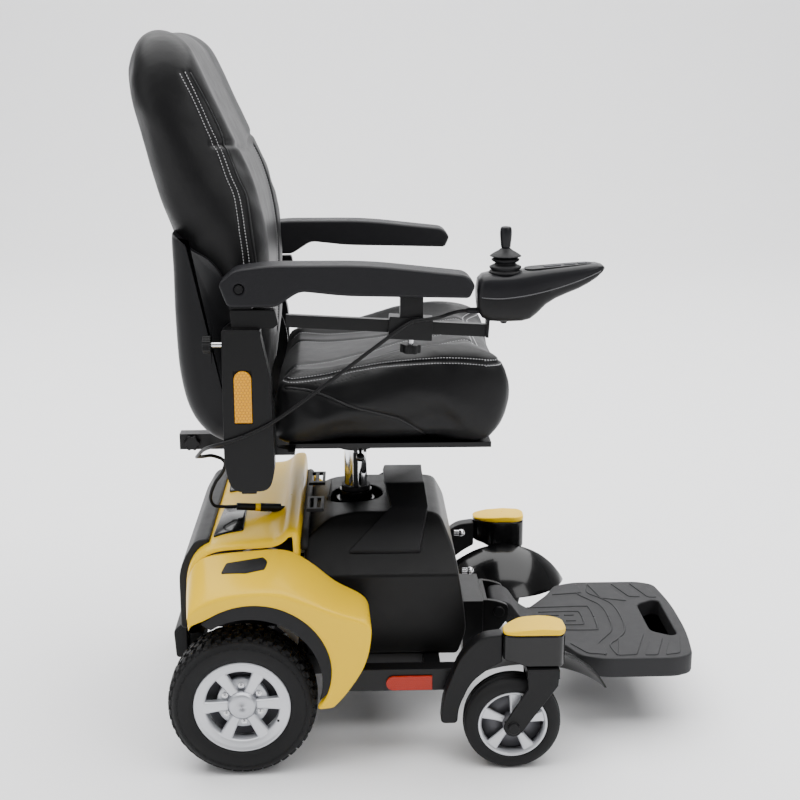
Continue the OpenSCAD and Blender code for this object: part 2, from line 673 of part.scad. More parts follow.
module back_front(inset) {
    h = back_rise;
    w = back_y - inset;
    rotate([90, 0, 90]) translate([0, 0, -600]) linear_extrude(1200) polygon(outline([[-w, hinge_z - 300, 0],
        [-w, hinge_z + h * 0.45, 60], [-w + 44, hinge_z + h - inset, 90], [w - 44, hinge_z + h - inset, 90],
        [w, hinge_z + h * 0.45, 60], [w, hinge_z - 300, 0]]));
}

module back_cushion() color("#29292b") {
    difference() {
        intersection() {
            slab(outline(back_side(14)), -back_y, back_y);
            back_front(0);
        }
        bar_y(hinge_x, hinge_z, 6, -back_y - 1, -back_y + 30);
        bar_y(hinge_x, hinge_z, 6, back_y - 30, back_y + 1);
    }
    // hinge pins
    both_sides() bar_y(hinge_x, hinge_z, 6, -back_y - 7, -back_y + 30);
}

// Plastic shell that closes the lower rear of the back, with its four screw caps
module back_shell() color("#232325") {
    h = back_rise;
    x = hinge_x;
    z = hinge_z;
    difference() {
        slab(outline([[x - 84, z + h * 0.32, 0], [x - 68, z + h * 0.28, 6], [x - 56, z + h * 0.12, 30],
            [x - 56, z - 106, 20], [x + 2, z - 171, 0], [x - 2, z - 181, 10], [x - 62, z - 176, 50],
            [x - 78, z - 100, 30], [x - 77, z + h * 0.06, 30]]), -back_y + 4, back_y - 4);
        intersection() {
            slab(outline(back_side(14)), -back_y, back_y);
            back_front(0);
        }
    }
    for (y = [-100, 100], dz = [-86, -12]) bar_x(y, z + dz, 9, x - 84, x - 72);
}

// ---- armrests ------------------------------------------------------------------------

module arm_bracket_r() color("#1f1f21") {
    // cover plate with rounded foot
    difference() {
        slab(outline([[-188, 700, 4], [-133, 700, 4], [-133, 690, 3], [-120, 626, 6], [-117, 490, 16], [-125, 461, 16],
            [-180, 459, 18], [-190, 500, 30]]), -bracket_y1, -bracket_y0);
        translate([-160, -bracket_y1, 603]) block([-13, -1, -40], [13, 3.2, 38]);
        tube_clear();
    }
    // arm tube, which slides in the receiver under the seat
    block([tube_x - arm_tube / 2, -bracket_y0 - 4, tube_z - arm_tube / 2],
        [tube_x + arm_tube / 2, -180 + tube_in, tube_z + arm_tube / 2]);
    // arm post, its tongue and the stop under the armrest
    difference() {
        union() {
            slab(outline([[-174, 700, 0], [-116, 700, 0], [-108, 706, 3], [-112, 727, 4], [-176, 727, 4]]),
                -arm_y - 11, -arm_y + 9);
            slab_of(-arm_y - tongue_w / 2, -arm_y + tongue_w / 2) {
                translate([arm_hinge_x, arm_hinge_z]) circle(r = arm_r);
                translate([arm_hinge_x - arm_r, 727]) square([2 * arm_r, arm_hinge_z - 727]);
            }
        }
        bar_y(arm_hinge_x, arm_hinge_z, 6, -arm_y - 20, -arm_y + 20);
    }
    // pivot bolt
    bar_y(arm_hinge_x, arm_hinge_z, 6, -arm_y - arm_w / 2 - 1, -arm_y + arm_w / 2 + 1);
    // height knob behind the bracket: chrome shank and black disc
    bar_x(-arm_y - 4, 676, 4, -204, -188);
    translate([-216, -arm_y - 4, 676]) rotate([0, 90, 0]) star_knob(13, 12, 0);
}

// Seat of the arm tube in the cover plate
module tube_clear()
    block([tube_x - arm_tube / 2, -bracket_y0 - 4, tube_z - arm_tube / 2],
        [tube_x + arm_tube / 2, -bracket_y0 + 1, tube_z + arm_tube / 2]);

module arm_reflector_r() color("#ffab0f")
    translate([-160, -bracket_y1, 603]) slab_of(-0.8, 3.2) {
        translate([-12.5, -39]) square([25, 64]);
        translate([0, 25]) circle(r = 12.5);
    }

module armrest_r() color("#3a3a3d")
    difference() {
        slab(outline([[-190, 766, 6], [-168, 786, 10], [-120, 792, 20], [20, 792, 40], [arm_front - 12, 777, 10],
            [arm_front, 762, 5], [arm_front - 8, 744, 5], [-14, 748, 20], [-76, 755, 10], [-110, 733, 6], [-178, 733, 8]]),
            -arm_y - arm_w / 2, -arm_y + arm_w / 2);
        // slot for the tongue, open to the rear and below
        slot = tongue_w / 2 + 0.8;
        bar_y(arm_hinge_x, arm_hinge_z, arm_r + 2, -arm_y - slot, -arm_y + slot);
        block([-230, -arm_y - slot, arm_hinge_z - 34], [arm_hinge_x, -arm_y + slot, arm_hinge_z + 17.5]);
        block([-200, -arm_y - slot, 700], [arm_hinge_x + arm_r + 2, -arm_y + slot, arm_hinge_z]);
        bar_y(arm_hinge_x, arm_hinge_z, 6 + play, -arm_y - 60, -arm_y + 60);
    }

// ---- controller ----------------------------------------------------------------------

module in_rail() translate([clamp_x, -arm_y, clamp_z]) rotate([0, rail_tilt, 0]) children();

rail_hw = 9;           // half height of the controller rail
rail_hy = 6;           // half thickness of the controller rail

module rail_clamp() color("#1b1b1d") {
    in_rail() difference() {
        block([-31, -14, -17], [31, 14, 15]);
        block([-40, -rail_hy - 0.4, -rail_hw - 0.4], [40, rail_hy + 0.4, rail_hw + 0.4]);
        translate([2, 0, -20]) cylinder(r = 4 + play, h = 12);
    }
    // post up to the armrest
    difference() {
        block([65, -arm_y - 11, 708], [98, -arm_y + 11, 746]);
        in_rail() block([-60, -20, -20], [60, 20, 15]);
        armrest_r();
    }
}

module clamp_knob() color("#d0d1d4") in_rail() translate([2, 0, 0]) {
    translate([0, 0, -rail_hw - 0.5]) mirror([0, 0, 1]) cylinder(r = 4, h = 17);
    color("#19191b") translate([0, 0, -rail_hw - 29]) star_knob(15, 12, 0);
}

module controller_rail() color("#161618") in_rail() {
    block([-178, -rail_hy, -rail_hw], [108, rail_hy, rail_hw]);
    // end flange and the plate under the controller
    block([108, -13, -rail_hw], [112, 13, 21]);
}

// Point on the controller's sloping top: s along it, h above it
module on_top(s, h) translate([top_x, pod_y, top_z]) rotate([0, -top_slope, 0]) translate([s, 0, h]) children();

module key_pocket(s, l, w, y) on_top(s, 0) block([-l / 2 - 0.4, y - w / 2 - 0.4, -6], [l / 2 + 0.4, y + w / 2 + 0.4, 4]);
module key_cap(s, l, w, y) on_top(s, 0) block([-l / 2, y - w / 2, -3.6], [l / 2, y + w / 2, 1.4]);

boot_z = 776;          // flat under the bellows, sunk in the sloping top
boot_h = 36;           // height of the bellows
module controller_case() {
    color("#29292c") difference() {
        union() {
            intersection() {
            slab(outline([[174, 748, 10], [182, 772, 8], [top_x, top_z, 4],
                [347, top_z + 157 * tan(top_slope), 6], [356, 783, 4], [338, 762, 12], [300, 747, 16], [272, 733, 20],
                [252, 708, 14], [206, 707, 12], [183, 714, 10]]), pod_y - pod_w / 2, pod_y + pod_w / 2);
            // plan: wide round the joystick, narrower at the front
            translate([0, pod_y, 600]) linear_extrude(300) polygon(outline([[170, -pod_w / 2 + 6, 12],
                [190, -pod_w / 2, 14], [240, -pod_w / 2, 30], [300, -pod_w / 2 + 7, 30], [357, -pod_w / 2 + 10, 20],
                [357, pod_w / 2 - 10, 20], [300, pod_w / 2 - 7, 30], [240, pod_w / 2, 30], [190, pod_w / 2, 14],
                [170, pod_w / 2 - 6, 12]]));
            }
        }
        // well of the gimbal, and its pin holes
        translate([stick_x, pod_y, stick_z - 12]) cylinder(r = 14, h = 40);
        translate([stick_x, pod_y, boot_z]) cylinder(r = 24, h = 20);
        bar_y(stick_x, stick_z, 1.5 + play, pod_y - 17.5, pod_y + 17.5);
        key_pocket(92, 24, 14, 0);
        key_pocket(117, 15, 12, 0);
        key_pocket(135, 13, 12, 0);
        in_rail() block([100, -30, -20], [112, 30, 21.2]);
        translate([160, pod_y, 722]) rotate([0, 90, 0]) cylinder(r = 4.2, h = 26);
    }
    // cable gland and the foot screw
    color("#161618") translate([164, pod_y, 722]) rotate([0, 90, 0]) difference() {
        cylinder(r = 4.2, h = 22);
        translate([0, 0, -1]) cylinder(d = cable_d, h = 8);
    }
    color("#161618") translate([214, pod_y, 702.8]) cylinder(r = 5, h = 4.2);
}

module joystick() color("#232326") translate([stick_x, pod_y, stick_z]) {
    sphere(r = 6, $fn = 32);
    bar_x(0, 0, 1.25, -11, 11);
    cylinder(r = 3, h = 52);
    translate([0, 0, boot_z + boot_h + 0.4 - stick_z]) rotate_extrude() polygon(outline([[0, 0, 0],
        [knob_d / 2 - 2, 0, 1], [knob_d / 2 - 0.7, 6, 6], [knob_d / 2, 16, 8], [knob_d / 2 - 0.8, 26, 5],
        [knob_d / 2 - 4, 30, 4], [0, 30, 0]]));
}

module gimbal() color("#8a8b8f") translate([stick_x, pod_y, stick_z]) difference() {
    union() {
        translate([0, 0, -4]) cylinder(r = 12, h = 8);
        bar_y(0, 0, 1.5, -17, 17);
    }
    translate([0, 0, -5]) cylinder(r = 8, h = 10);
    bar_x(0, 0, 1.25 + play, -13, 13);
    bar_y(0, 0, 2, -8, 8);
}

// Rubber bellows: two folds under a wide hood
module joystick_boot() color("#1f1f21") translate([stick_x, pod_y, 0]) {
    z0 = boot_z;
    rotate_extrude() polygon([[3.8, z0 + boot_h], [4.4, z0 + 31], [10, z0 + 26], [12, z0 + 16], [12, z0 + 6],
        [14.5, z0], [23, z0], [23, z0 + 2.5], [20, z0 + 4.5], [22.4, z0 + 8], [22, z0 + 10.5], [14.5, z0 + 14],
        [19.6, z0 + 17], [19.4, z0 + 20], [13.5, z0 + 22.5], [22.2, z0 + 25], [21.5, z0 + 27.5], [8.5, z0 + 34],
        [7, z0 + boot_h]]);
}

module key_speed() color("#39393d") key_cap(92, 24, 14, 0);
module key_power() color("#39393d") key_cap(117, 15, 12, 0);
module key_horn() color("#39393d") key_cap(135, 13, 12, 0);

// ---- cable ---------------------------------------------------------------------------

// Catmull-Rom curve through the route's points
function curve_at(p, i, t) = let (n = len(p) - 1, a = p[max(i - 1, 0)], b = p[i], c = p[min(i + 1, n)], d = p[min(i + 2, n)])
    0.5 * (2 * b + (c - a) * t + (2 * a - 5 * b + 4 * c - d) * t * t + (3 * b - a - 3 * c + d) * t * t * t);
function route(p, k) = [for (i = [0:len(p) - 2]) for (j = [0:k - 1]) curve_at(p, i, j / k), p[len(p) - 1]];

// A round tube swept along points, one ring at each. Its ends face along d0 and d1, so that
// two tubes that meet share one flat end. No part of the route may run along ref.
module tube(p, r, sides, d0, d1, ref) {
    n = len(p);
    function tangent(i) = i == 0 ? d0 : i == n - 1 ? d1 : unit(p[i + 1] - p[i - 1]);
    function ring(i) = let (t = tangent(i), u = unit(cross(t, ref)), v = cross(t, u))
        [for (j = [0:sides - 1]) p[i] + r * (cos(j * 360 / sides) * u + sin(j * 360 / sides) * v)];
    points = [for (i = [0:n - 1]) each ring(i)];
    sides_faces = [for (i = [0:n - 2]) for (j = [0:sides - 1])
        [i * sides + j, i * sides + (j + 1) % sides, (i + 1) * sides + (j + 1) % sides, (i + 1) * sides + j]];
    ends = [[for (j = [sides - 1:-1:0]) j], [for (j = [0:sides - 1]) (n - 1) * sides + j]];
    polyhedron(points, concat(sides_faces, ends));
}

module cable(p, d0, d1, ref = [0, 1, 0]) color("#1a1a1b") tube(route(p, 3), cable_d / 2, 8, d0, d1, ref);

arm_tie = [84, cable_y, 712];        // where the cable is tied to the rail clamp
bracket_tie = [-160, cable_y, 545];  // where it is tied to the arm bracket
seat_tie = [-212, -118, 462];        // where it leaves the seat rail
post_tie = [-222, -106, 420];        // middle of the loop that follows the seat post
plug_end = [-192, -90, 372];         // rear end of the plugs, on the shroud

// Direction of the cable at each of these places
arm_dir = unit([-34, 0, -12]);
bracket_dir = unit([-56, 0, -22]);
seat_dir = unit([16, 14, -20]);
post_dir = unit([-16, 4, -34]);
plug_dir = unit([96, 22, -12]);

module cable_pod() cable([[164, pod_y, 722], [150, pod_y, 721], [136, pod_y - 8, 719], [118, cable_y + 4, 716],
    [100, cable_y, 714], arm_tie], [-1, 0, 0], arm_dir);
module cable_arm() cable([arm_tie, [66, cable_y, 702], [20, cable_y, 668], [-30, cable_y, 630], [-80, cable_y, 592],
    [-124, cable_y, 562], bracket_tie], arm_dir, bracket_dir);
module cable_bracket() cable([bracket_tie, [-180, cable_y, 538], [-202, cable_y + 3, 531], [-222, cable_y + 30, 517],
    [-235, -226, 498], [-239, -192, 487], [-235, -158, 477], [-225, -130, 470], seat_tie],
    bracket_dir, seat_dir, [0, 0, 1]);
module cable_seat() cable([seat_tie, [-206, -112, 452], [-211, -108, 436], post_tie], seat_dir, post_dir);
module cable_base() cable([post_tie, [-230, -104, 402], [-232, -102, 388], [-226, -99, 377], [-212, -95, 373.5],
    plug_end], post_dir, plug_dir);

// Two inline connectors on the shroud's top and the lead that goes into the base
module plug(stops, r, sides) tube([for (s = stops) plug_end + plug_dir * s], r, sides, plug_dir, plug_dir, [0, 1, 0]);
module cable_plugs() {
    color("#1a1a1b") {
        plug([0, 4, 24, 30], 6, 12);
        plug([38, 44, 66, 72], 7, 12);
        plug([72, 86, 100], 3.5, 8);
    }
    color("#ffd400") plug([30, 34, 38], 6.6, 12);
}

// ---- assembly ------------------------------------------------------------------------

module place() translate([shift, 0, 0]) children();

place() chassis_frame();
place() caster_arms();
place() caster_housings();
place() caster_guards();
place() toe_pads();
place() battery_cover();
place() batteries();
place() column_cover();
place() post_socket();
place() rear_shroud();
place() rear_panel();
place() base_reflectors();
place() arch_trims();
place() shroud_vents();
place() drive_motors();
place() rear_bumper();
place() control_module();
place() footplate_bracket();
place() base_bolts();
place() freewheel_lever_r();
place() left() freewheel_lever_r();  // freewheel_lever_l
place() drive_tyre_r();
place() left() drive_tyre_r();  // drive_tyre_l
place() drive_rim_r();
place() left() drive_rim_r();  // drive_rim_l
place() caster_fork_r();
place() left() caster_fork_r();  // caster_fork_l
place() caster_tyre_r();
place() left() caster_tyre_r();  // caster_tyre_l
place() caster_rim_r();
place() left() caster_rim_r();  // caster_rim_l
place() footplate();
place() seat_post();
place() seat_frame();
place() swivel_lever();
place() seat_cushion();
place() back_cushion();
place() back_shell();
place() arm_bracket_r();
place() left() arm_bracket_r();  // arm_bracket_l
place() arm_reflector_r();
place() left() arm_reflector_r();  // arm_reflector_l
place() armrest_r();
place() left() armrest_r();  // armrest_l
place() rail_clamp();
place() clamp_knob();
place() controller_rail();
place() controller_case();
place() joystick();
place() joystick_boot();
place() gimbal();
place() key_speed();
place() key_power();
place() key_horn();
place() cable_pod();
place() cable_arm();
place() cable_bracket();
place() cable_seat();
place() cable_base();
place() cable_plugs();
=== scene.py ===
# %% [markdown]
# # A power wheelchair, dressed around its CAD frame
# The CAD model already has every part in its place, in metres, with +X forward, +Y to the
# chair's left and +Z up. This lesson loads it as a fixed frame and then adds the looks:
# finishes for the hard parts, and new meshes where the real thing is soft, treaded or cast.

# %% Load the frame
import math

import bmesh
import bpy
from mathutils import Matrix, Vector, noise
from mathutils.bvhtree import BVHTree
from mathutils.kdtree import KDTree


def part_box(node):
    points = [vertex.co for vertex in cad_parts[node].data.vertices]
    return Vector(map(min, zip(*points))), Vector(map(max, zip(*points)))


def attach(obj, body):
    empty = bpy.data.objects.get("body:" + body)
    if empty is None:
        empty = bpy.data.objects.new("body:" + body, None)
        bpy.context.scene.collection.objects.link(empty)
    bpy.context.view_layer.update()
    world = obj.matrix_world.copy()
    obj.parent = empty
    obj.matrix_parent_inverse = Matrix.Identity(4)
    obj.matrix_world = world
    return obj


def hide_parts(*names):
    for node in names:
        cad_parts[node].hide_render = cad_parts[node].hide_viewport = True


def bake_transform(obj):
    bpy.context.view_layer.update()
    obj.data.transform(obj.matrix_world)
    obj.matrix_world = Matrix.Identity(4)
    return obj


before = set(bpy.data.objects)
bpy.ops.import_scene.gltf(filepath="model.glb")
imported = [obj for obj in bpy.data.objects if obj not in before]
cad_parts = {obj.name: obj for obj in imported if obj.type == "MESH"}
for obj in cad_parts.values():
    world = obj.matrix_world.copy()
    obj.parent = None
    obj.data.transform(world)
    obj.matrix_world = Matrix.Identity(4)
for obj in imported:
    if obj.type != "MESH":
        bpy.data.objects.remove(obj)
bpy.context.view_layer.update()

# %% [markdown]
# A chair like this is laid out from its seat post. Lengths on it are easiest to think of in
# millimetres ahead of that post, so one small function turns them into the frame's metres.

# %% Measures
MM = 0.001
post_low, post_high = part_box("seat_post")
POST_X = (post_low.x + post_high.x) / 2


def at(x, y, z):
    """A point x ahead of the seat post, y to the left and z above the floor, in millimetres."""
    return Vector((POST_X + x * MM, y * MM, z * MM))


print("seat post at x =", round(POST_X, 4))

# %% [markdown]
# The camera and the cable come first. The camera stands on the chair's right, a little over
# two metres away, and looks down on it slightly. A long lens keeps the wheels round.

# %% Camera
camera = bpy.data.objects.new("camera", bpy.data.cameras.new("camera"))
bpy.context.scene.collection.objects.link(camera)
camera.location = (POST_X, -2.13, 1.073)
camera.rotation_euler = (math.radians(75.54), 0, math.radians(-2))
camera.data.lens = 59.85
camera.data.sensor_width = 36
camera.data.clip_end = 100
bpy.context.scene.camera = camera
print("camera at", [round(v, 3) for v in camera.location])

# %% [markdown]
# Meshes made here are all plain lists of points and faces. One function turns such lists into
# an object that sits at the frame's origin, so that its own coordinates are the frame's.


# %% Mesh helpers
def mesh_object(name, points, faces, smooth=True):
    mesh = bpy.data.meshes.new(name)
    mesh.from_pydata([tuple(p) for p in points], [], faces)
    mesh.update()
    cleaner = bmesh.new()
    cleaner.from_mesh(mesh)
    bmesh.ops.recalc_face_normals(cleaner, faces=cleaner.faces)
    cleaner.to_mesh(mesh)
    cleaner.free()
    mesh.polygons.foreach_set("use_smooth", [smooth] * len(mesh.polygons))
    made = bpy.data.objects.new(name, mesh)
    bpy.context.scene.collection.objects.link(made)
    return made


def skin(rings, closed_ring=True, caps=True, closed_sweep=False):
    """Faces between successive rings of equally many points."""
    n, count = len(rings[0]), len(rings)
    faces = []
    for i in range(count if closed_sweep else count - 1):
        a, b = i * n, (i + 1) % count * n
        for j in range(n if closed_ring else n - 1):
            k = (j + 1) % n
            faces.append((a + j, a + k, b + k, b + j))
    if caps and not closed_sweep:
        faces += [tuple(range(n - 1, -1, -1)), tuple(range((count - 1) * n, count * n))]
    return [p for ring in rings for p in ring], faces


def gathered(parts):
    """One list of points and one of faces, from several such pairs."""
    points, faces = [], []
    for more_points, more_faces in parts:
        faces += [tuple(v + len(points) for v in face) for face in more_faces]
        points += more_points
    return points, faces


def curve_through(points, per_span, closed=False):
    """A smooth Catmull-Rom curve through the points."""
    n = len(points)
    spans = n if closed else n - 1
    out = []
    for i in range(spans):
        if closed:
            a, b, c, d = (points[(i + k) % n] for k in (-1, 0, 1, 2))
        else:
            a, b, c, d = (points[min(max(i + k, 0), n - 1)] for k in (-1, 0, 1, 2))
        for s in range(per_span):
            t = s / per_span
            out.append(0.5 * (2 * b + (c - a) * t + (2 * a - 5 * b + 4 * c - d) * t * t
                              + (3 * b - a - 3 * c + d) * t ** 3))
    return out if closed else out + [points[-1]]


def tube(name, path, radius, sides=10, taper=None):
    """A round tube along a path, with its rings kept from twisting."""
    side, rings = None, []
    for i, p in enumerate(path):
        along = (path[min(i + 1, len(path) - 1)] - path[max(i - 1, 0)]).normalized()
        side = along.orthogonal() if side is None else side - along * side.dot(along)
        side.normalize()
        up = along.cross(side)
        r = radius * (taper(i / (len(path) - 1)) if taper else 1)
        rings.append([p + (side * math.cos(a) + up * math.sin(a)) * r
                      for a in (k * math.tau / sides for k in range(sides))])
    return mesh_object(name, *skin(rings))


def outward(ring):
    """Outward directions in XZ of a closed ring of points."""
    n = len(ring)
    area = sum(ring[i].x * ring[(i + 1) % n].z - ring[(i + 1) % n].x * ring[i].z for i in range(n))
    sign = 1 if area > 0 else -1
    out = []
    for i in range(n):
        along = ring[(i + 1) % n] - ring[i - 1]
        out.append(Vector((along.z, 0, -along.x)).normalized() * sign)
    return out


def surface_of(piece):
    graph = bpy.context.evaluated_depsgraph_get()
    return BVHTree.FromObject(piece, graph)


print("helpers ready")

# %% [markdown]
# The joystick's cable leaves the controller, is tied under the armrest, runs down the arm
# bracket to the seat rail and ends in two inline plugs on the rear shroud. It crosses four
# joints, so it is made in five runs.

# %% The cable's route
CABLE_D = 5.5 * MM
CABLE_Y = -286.5
ARM_TIE, BRACKET_TIE = at(84, CABLE_Y, 712), at(-160, CABLE_Y, 545)
SEAT_TIE, POST_TIE = at(-212, -118, 462), at(-222, -106, 420)
PLUG_END = at(-192, -90, 372)
RUNS = {
    "cable_pod": [at(164, -260, 722), at(150, -260, 721), at(136, -268, 719),
                  at(118, CABLE_Y + 4, 716), at(100, CABLE_Y, 714), ARM_TIE],
    "cable_arm": [ARM_TIE, at(66, CABLE_Y, 702), at(20, CABLE_Y, 668), at(-30, CABLE_Y, 630),
                  at(-80, CABLE_Y, 592), at(-124, CABLE_Y, 562), BRACKET_TIE],
    "cable_bracket": [BRACKET_TIE, at(-180, CABLE_Y, 538), at(-202, CABLE_Y + 3, 531),
                      at(-222, CABLE_Y + 30, 517), at(-235, -226, 498), at(-239, -192, 487),
                      at(-235, -158, 477), at(-225, -130, 470), SEAT_TIE],
    "cable_seat": [SEAT_TIE, at(-206, -112, 452), at(-211, -108, 436), POST_TIE],
    "cable_base": [POST_TIE, at(-230, -104, 402), at(-232, -102, 388), at(-226, -99, 377),
                   at(-212, -95, 373.5), PLUG_END],
}
cable_runs = {}
for name, stops in RUNS.items():
    path = curve_through(stops, 6)
    run = tube(name + "_jacket", path, CABLE_D / 2, 12)
    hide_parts(name)
    moving, still = path[0], path[-1]
    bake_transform(run)
    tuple(still)
    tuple(moving)
    length = sum((b - a).length for a, b in zip(path, path[1:]))
    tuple(path[0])
    cable_runs[name] = run
    print(name, "is", round(length, 3), "m long")

# %% [markdown]
# The studio is a pale floor that curves up into a wall, a bright even sky and three soft
# lights. Black upholstery needs large lights: their broad reflections show its form.

# %% Floor
floor_line = [Vector((0, y, 0)) for y in (-25, -9, -3, 0, 3, 5)]
floor_line += [Vector((0, 5 + 1.5 * math.sin(a), 1.5 - 1.5 * math.cos(a)))
               for a in (math.radians(d) for d in range(10, 91, 10))]
floor_line.append(Vector((0, 6.5, 7)))
floor = mesh_object("floor", *skin([[p + Vector((x, 0, 0)) for p in floor_line]
                                    for x in (-25, -14, -5, 5, 14, 25)], closed_ring=False, caps=False))
print("floor made of", len(floor.data.polygons), "faces")


# %% Lights
def soft_light(name, place, target, size, power):
    lamp = bpy.data.objects.new(name, bpy.data.lights.new(name, "AREA"))
    lamp.data.shape = "RECTANGLE"
    lamp.data.size, lamp.data.size_y = size
    lamp.data.energy = power
    lamp.location = place
    lamp.rotation_euler = (Vector(target) - Vector(place)).to_track_quat("-Z", "Y").to_euler()
    bpy.context.scene.collection.objects.link(lamp)
    return lamp


soft_light("ceiling_softbox", (0.2, 1.2, 5.0), (0.2, 1.2, 0), (9, 8), 1150)
soft_light("front_softbox", (2.2, -2.6, 2.4), (0, 0, 0.5), (1.6, 1.6), 36)
soft_light("rear_softbox", (-2.8, -1.4, 1.6), (0, 0, 0.6), (1.0, 1.8), 14)
world = bpy.data.worlds.new("studio")
bpy.context.scene.world = world
world.use_nodes = True
sky = world.node_tree.nodes["Background"]
sky.inputs["Color"].default_value = (1, 1, 1, 1)
sky.inputs["Strength"].default_value = 0.3
print("studio lit")

# %% [markdown]
# Finishes are node materials. Writing shader maths as nodes is slow to read, so a socket is
# wrapped in a small class whose operators add the Math nodes, and every other node comes from
# one method of the material.


# %% Shader helpers
class Wire:
    """A socket that can be used in a Python expression."""

    def __init__(self, finish, socket):
        self.finish, self.socket = finish, socket

    def math(self, operation, *values):
        return self.finish.node("Math", {"operation": operation}, dict(enumerate(values)))

    def __add__(self, other):
        return self.math("ADD", self, other)

    def __sub__(self, other):
        return self.math("SUBTRACT", self, other)

    def __rsub__(self, other):
        return self.math("SUBTRACT", other, self)

    def __mul__(self, other):
        return self.math("MULTIPLY", self, other)

    def __truediv__(self, other):
        return self.math("DIVIDE", self, other)

    def wave(self):
        return self.math("COSINE", self)

    def ramp(self, low, high):
        """0 below low, 1 above high, smooth in between."""
        return self.finish.node("MapRange", {"interpolation_type": "SMOOTHSTEP"},
                                {"Value": self, "From Min": low, "From Max": high})

    __radd__, __rmul__ = __add__, __mul__


class Finish:
    """A material. Constants go on the shader's own sockets; node() adds anything else."""

    def __init__(self, name, **constants):
        self.material = bpy.data.materials.new(name)
        self.material.use_nodes = True
        self.tree = self.material.node_tree
        self.shader = self.tree.nodes["Principled BSDF"]
        self.use(**constants)

    def feed(self, socket, value):
        if isinstance(value, Wire):
            self.tree.links.new(value.socket, socket)
        elif isinstance(value, tuple) and len(value) == 3 and socket.type == "RGBA":
            socket.default_value = (*value, 1)
        else:
            socket.default_value = value

    def use(self, **values):
        """use(base_color=...) sets or links the shader's Base Color, and so on."""
        for key, value in values.items():
            title = {"ior_level": "Specular IOR Level"}.get(key, key.replace("_", " ").title())
            self.feed(self.shader.inputs[title], value)
        return self

    def node(self, kind, settings=None, inputs=None, out=0):
        made = self.tree.nodes.new("ShaderNode" + kind)
        for key, value in (settings or {}).items():
            setattr(made, key, value)
        for key, value in (inputs or {}).items():
            self.feed(made.inputs[key], value)
        return Wire(self, made.outputs[out])

    def place(self):
        """The frame's own coordinates, in metres, which ride along with the piece."""
        return self.node("TexCoord", out=3)

    def axis(self, which):
        return self.node("SeparateXYZ", inputs={0: self.place()}, out="XYZ".index(which))

    def noise(self, scale, detail=3, rough=0.5):
        return self.node("TexNoise", inputs={"Vector": self.place(), "Scale": scale,
                                             "Detail": detail, "Roughness": rough})

    def cells(self, scale, feature="F1"):
        return self.node("TexVoronoi", {"feature": feature},
                         {"Vector": self.place(), "Scale": scale})

    def blend(self, factor, a, b):
        return self.node("Mix", {"data_type": "RGBA"}, {0: factor, 6: a, 7: b}, out=2)

    def bump(self, height, depth, strength=1.0):
        """Height 0 to 1 stands for depth in metres."""
        return self.node("Bump", inputs={"Height": height, "Distance": depth,
                                         "Strength": strength})


print("shader helpers ready")


# %% [markdown]
# Moulded plastic is never flat: the tool leaves a fine grain, and its gloss varies a little.
# One recipe serves all the plastics and coated metals, with the grain's size and depth as
# its own two numbers.


# %% Plastics and paints
def moulded(name, colour, roughness, grain=1200, depth=0.00006, vary=0.12, **constants):
    made = Finish(name, **{"ior_level": 0.2, **constants})
    cloud = made.noise(9, 2)
    tone = made.blend(cloud, tuple(c * (1 - vary) for c in colour),
                      tuple(c * (1 + vary) for c in colour))
    pebble = made.cells(grain) * 0.6 + made.noise(grain * 1.7, 2) * 0.4
    made.use(base_color=tone, roughness=roughness + made.noise(60, 3) * 0.12 - 0.06,
             normal=made.bump(pebble, depth))
    return made


yellow_gloss = moulded("yellow_gloss_plastic", (0.80, 0.50, 0.0), 0.3, 500, 0.00002, 0.03,
                       coat_weight=0.08, coat_roughness=0.1, ior_level=0.2)
cover_black = moulded("grained_black_plastic", (0.0045, 0.0045, 0.0048), 0.42, 900, 0.00009)
panel_grey = moulded("grained_dark_grey_plastic", (0.011, 0.011, 0.012), 0.46, 900, 0.0001)
trim_black = moulded("matte_black_trim", (0.010, 0.010, 0.011), 0.55, 900, 0.00008)
gloss_black = moulded("polished_black_plastic", (0.003, 0.003, 0.0033), 0.18, 300, 0.00001,
                      coat_weight=0.25, coat_roughness=0.08)
frame_black = moulded("black_powder_coat", (0.004, 0.004, 0.0044), 0.34, 1500, 0.00003,
                      coat_weight=0.08, coat_roughness=0.2)
arm_paint = moulded("satin_black_paint", (0.0045, 0.0045, 0.005), 0.38, 1400, 0.00003)
pod_black = moulded("satin_black_case", (0.007, 0.007, 0.0085), 0.34, 1500, 0.00004,
                    coat_weight=0.08, coat_roughness=0.25)
pod_lower = moulded("matte_black_case", (0.0035, 0.0035, 0.004), 0.42, 1500, 0.00004)
pod_seam = moulded("case_seam_grey", (0.09, 0.09, 0.095), 0.4, 1500, 0.00002)
foot_plastic = moulded("ribbed_grey_plastic", (0.019, 0.019, 0.0205), 0.52, 700, 0.00012)
key_grey = moulded("key_rubber", (0.045, 0.045, 0.05), 0.6, 1500, 0.00003)
lever_grey = moulded("lever_grey_plastic", (0.42, 0.43, 0.45), 0.4, 900, 0.00004)
shell_black = moulded("satin_back_shell", (0.007, 0.007, 0.008), 0.4, 1000, 0.00008)
bumper_black = moulded("bumper_rubber", (0.012, 0.012, 0.013), 0.5, 900, 0.00008)
plug_yellow = moulded("plug_yellow", (0.85, 0.55, 0.01), 0.45, 900, 0.00003)
print("plastics made")

# %% [markdown]
# Rubber scatters light: it is rough, and slightly dusty where it has been handled. The
# armrest's skin is a self-skinned foam with a coarse pebble.

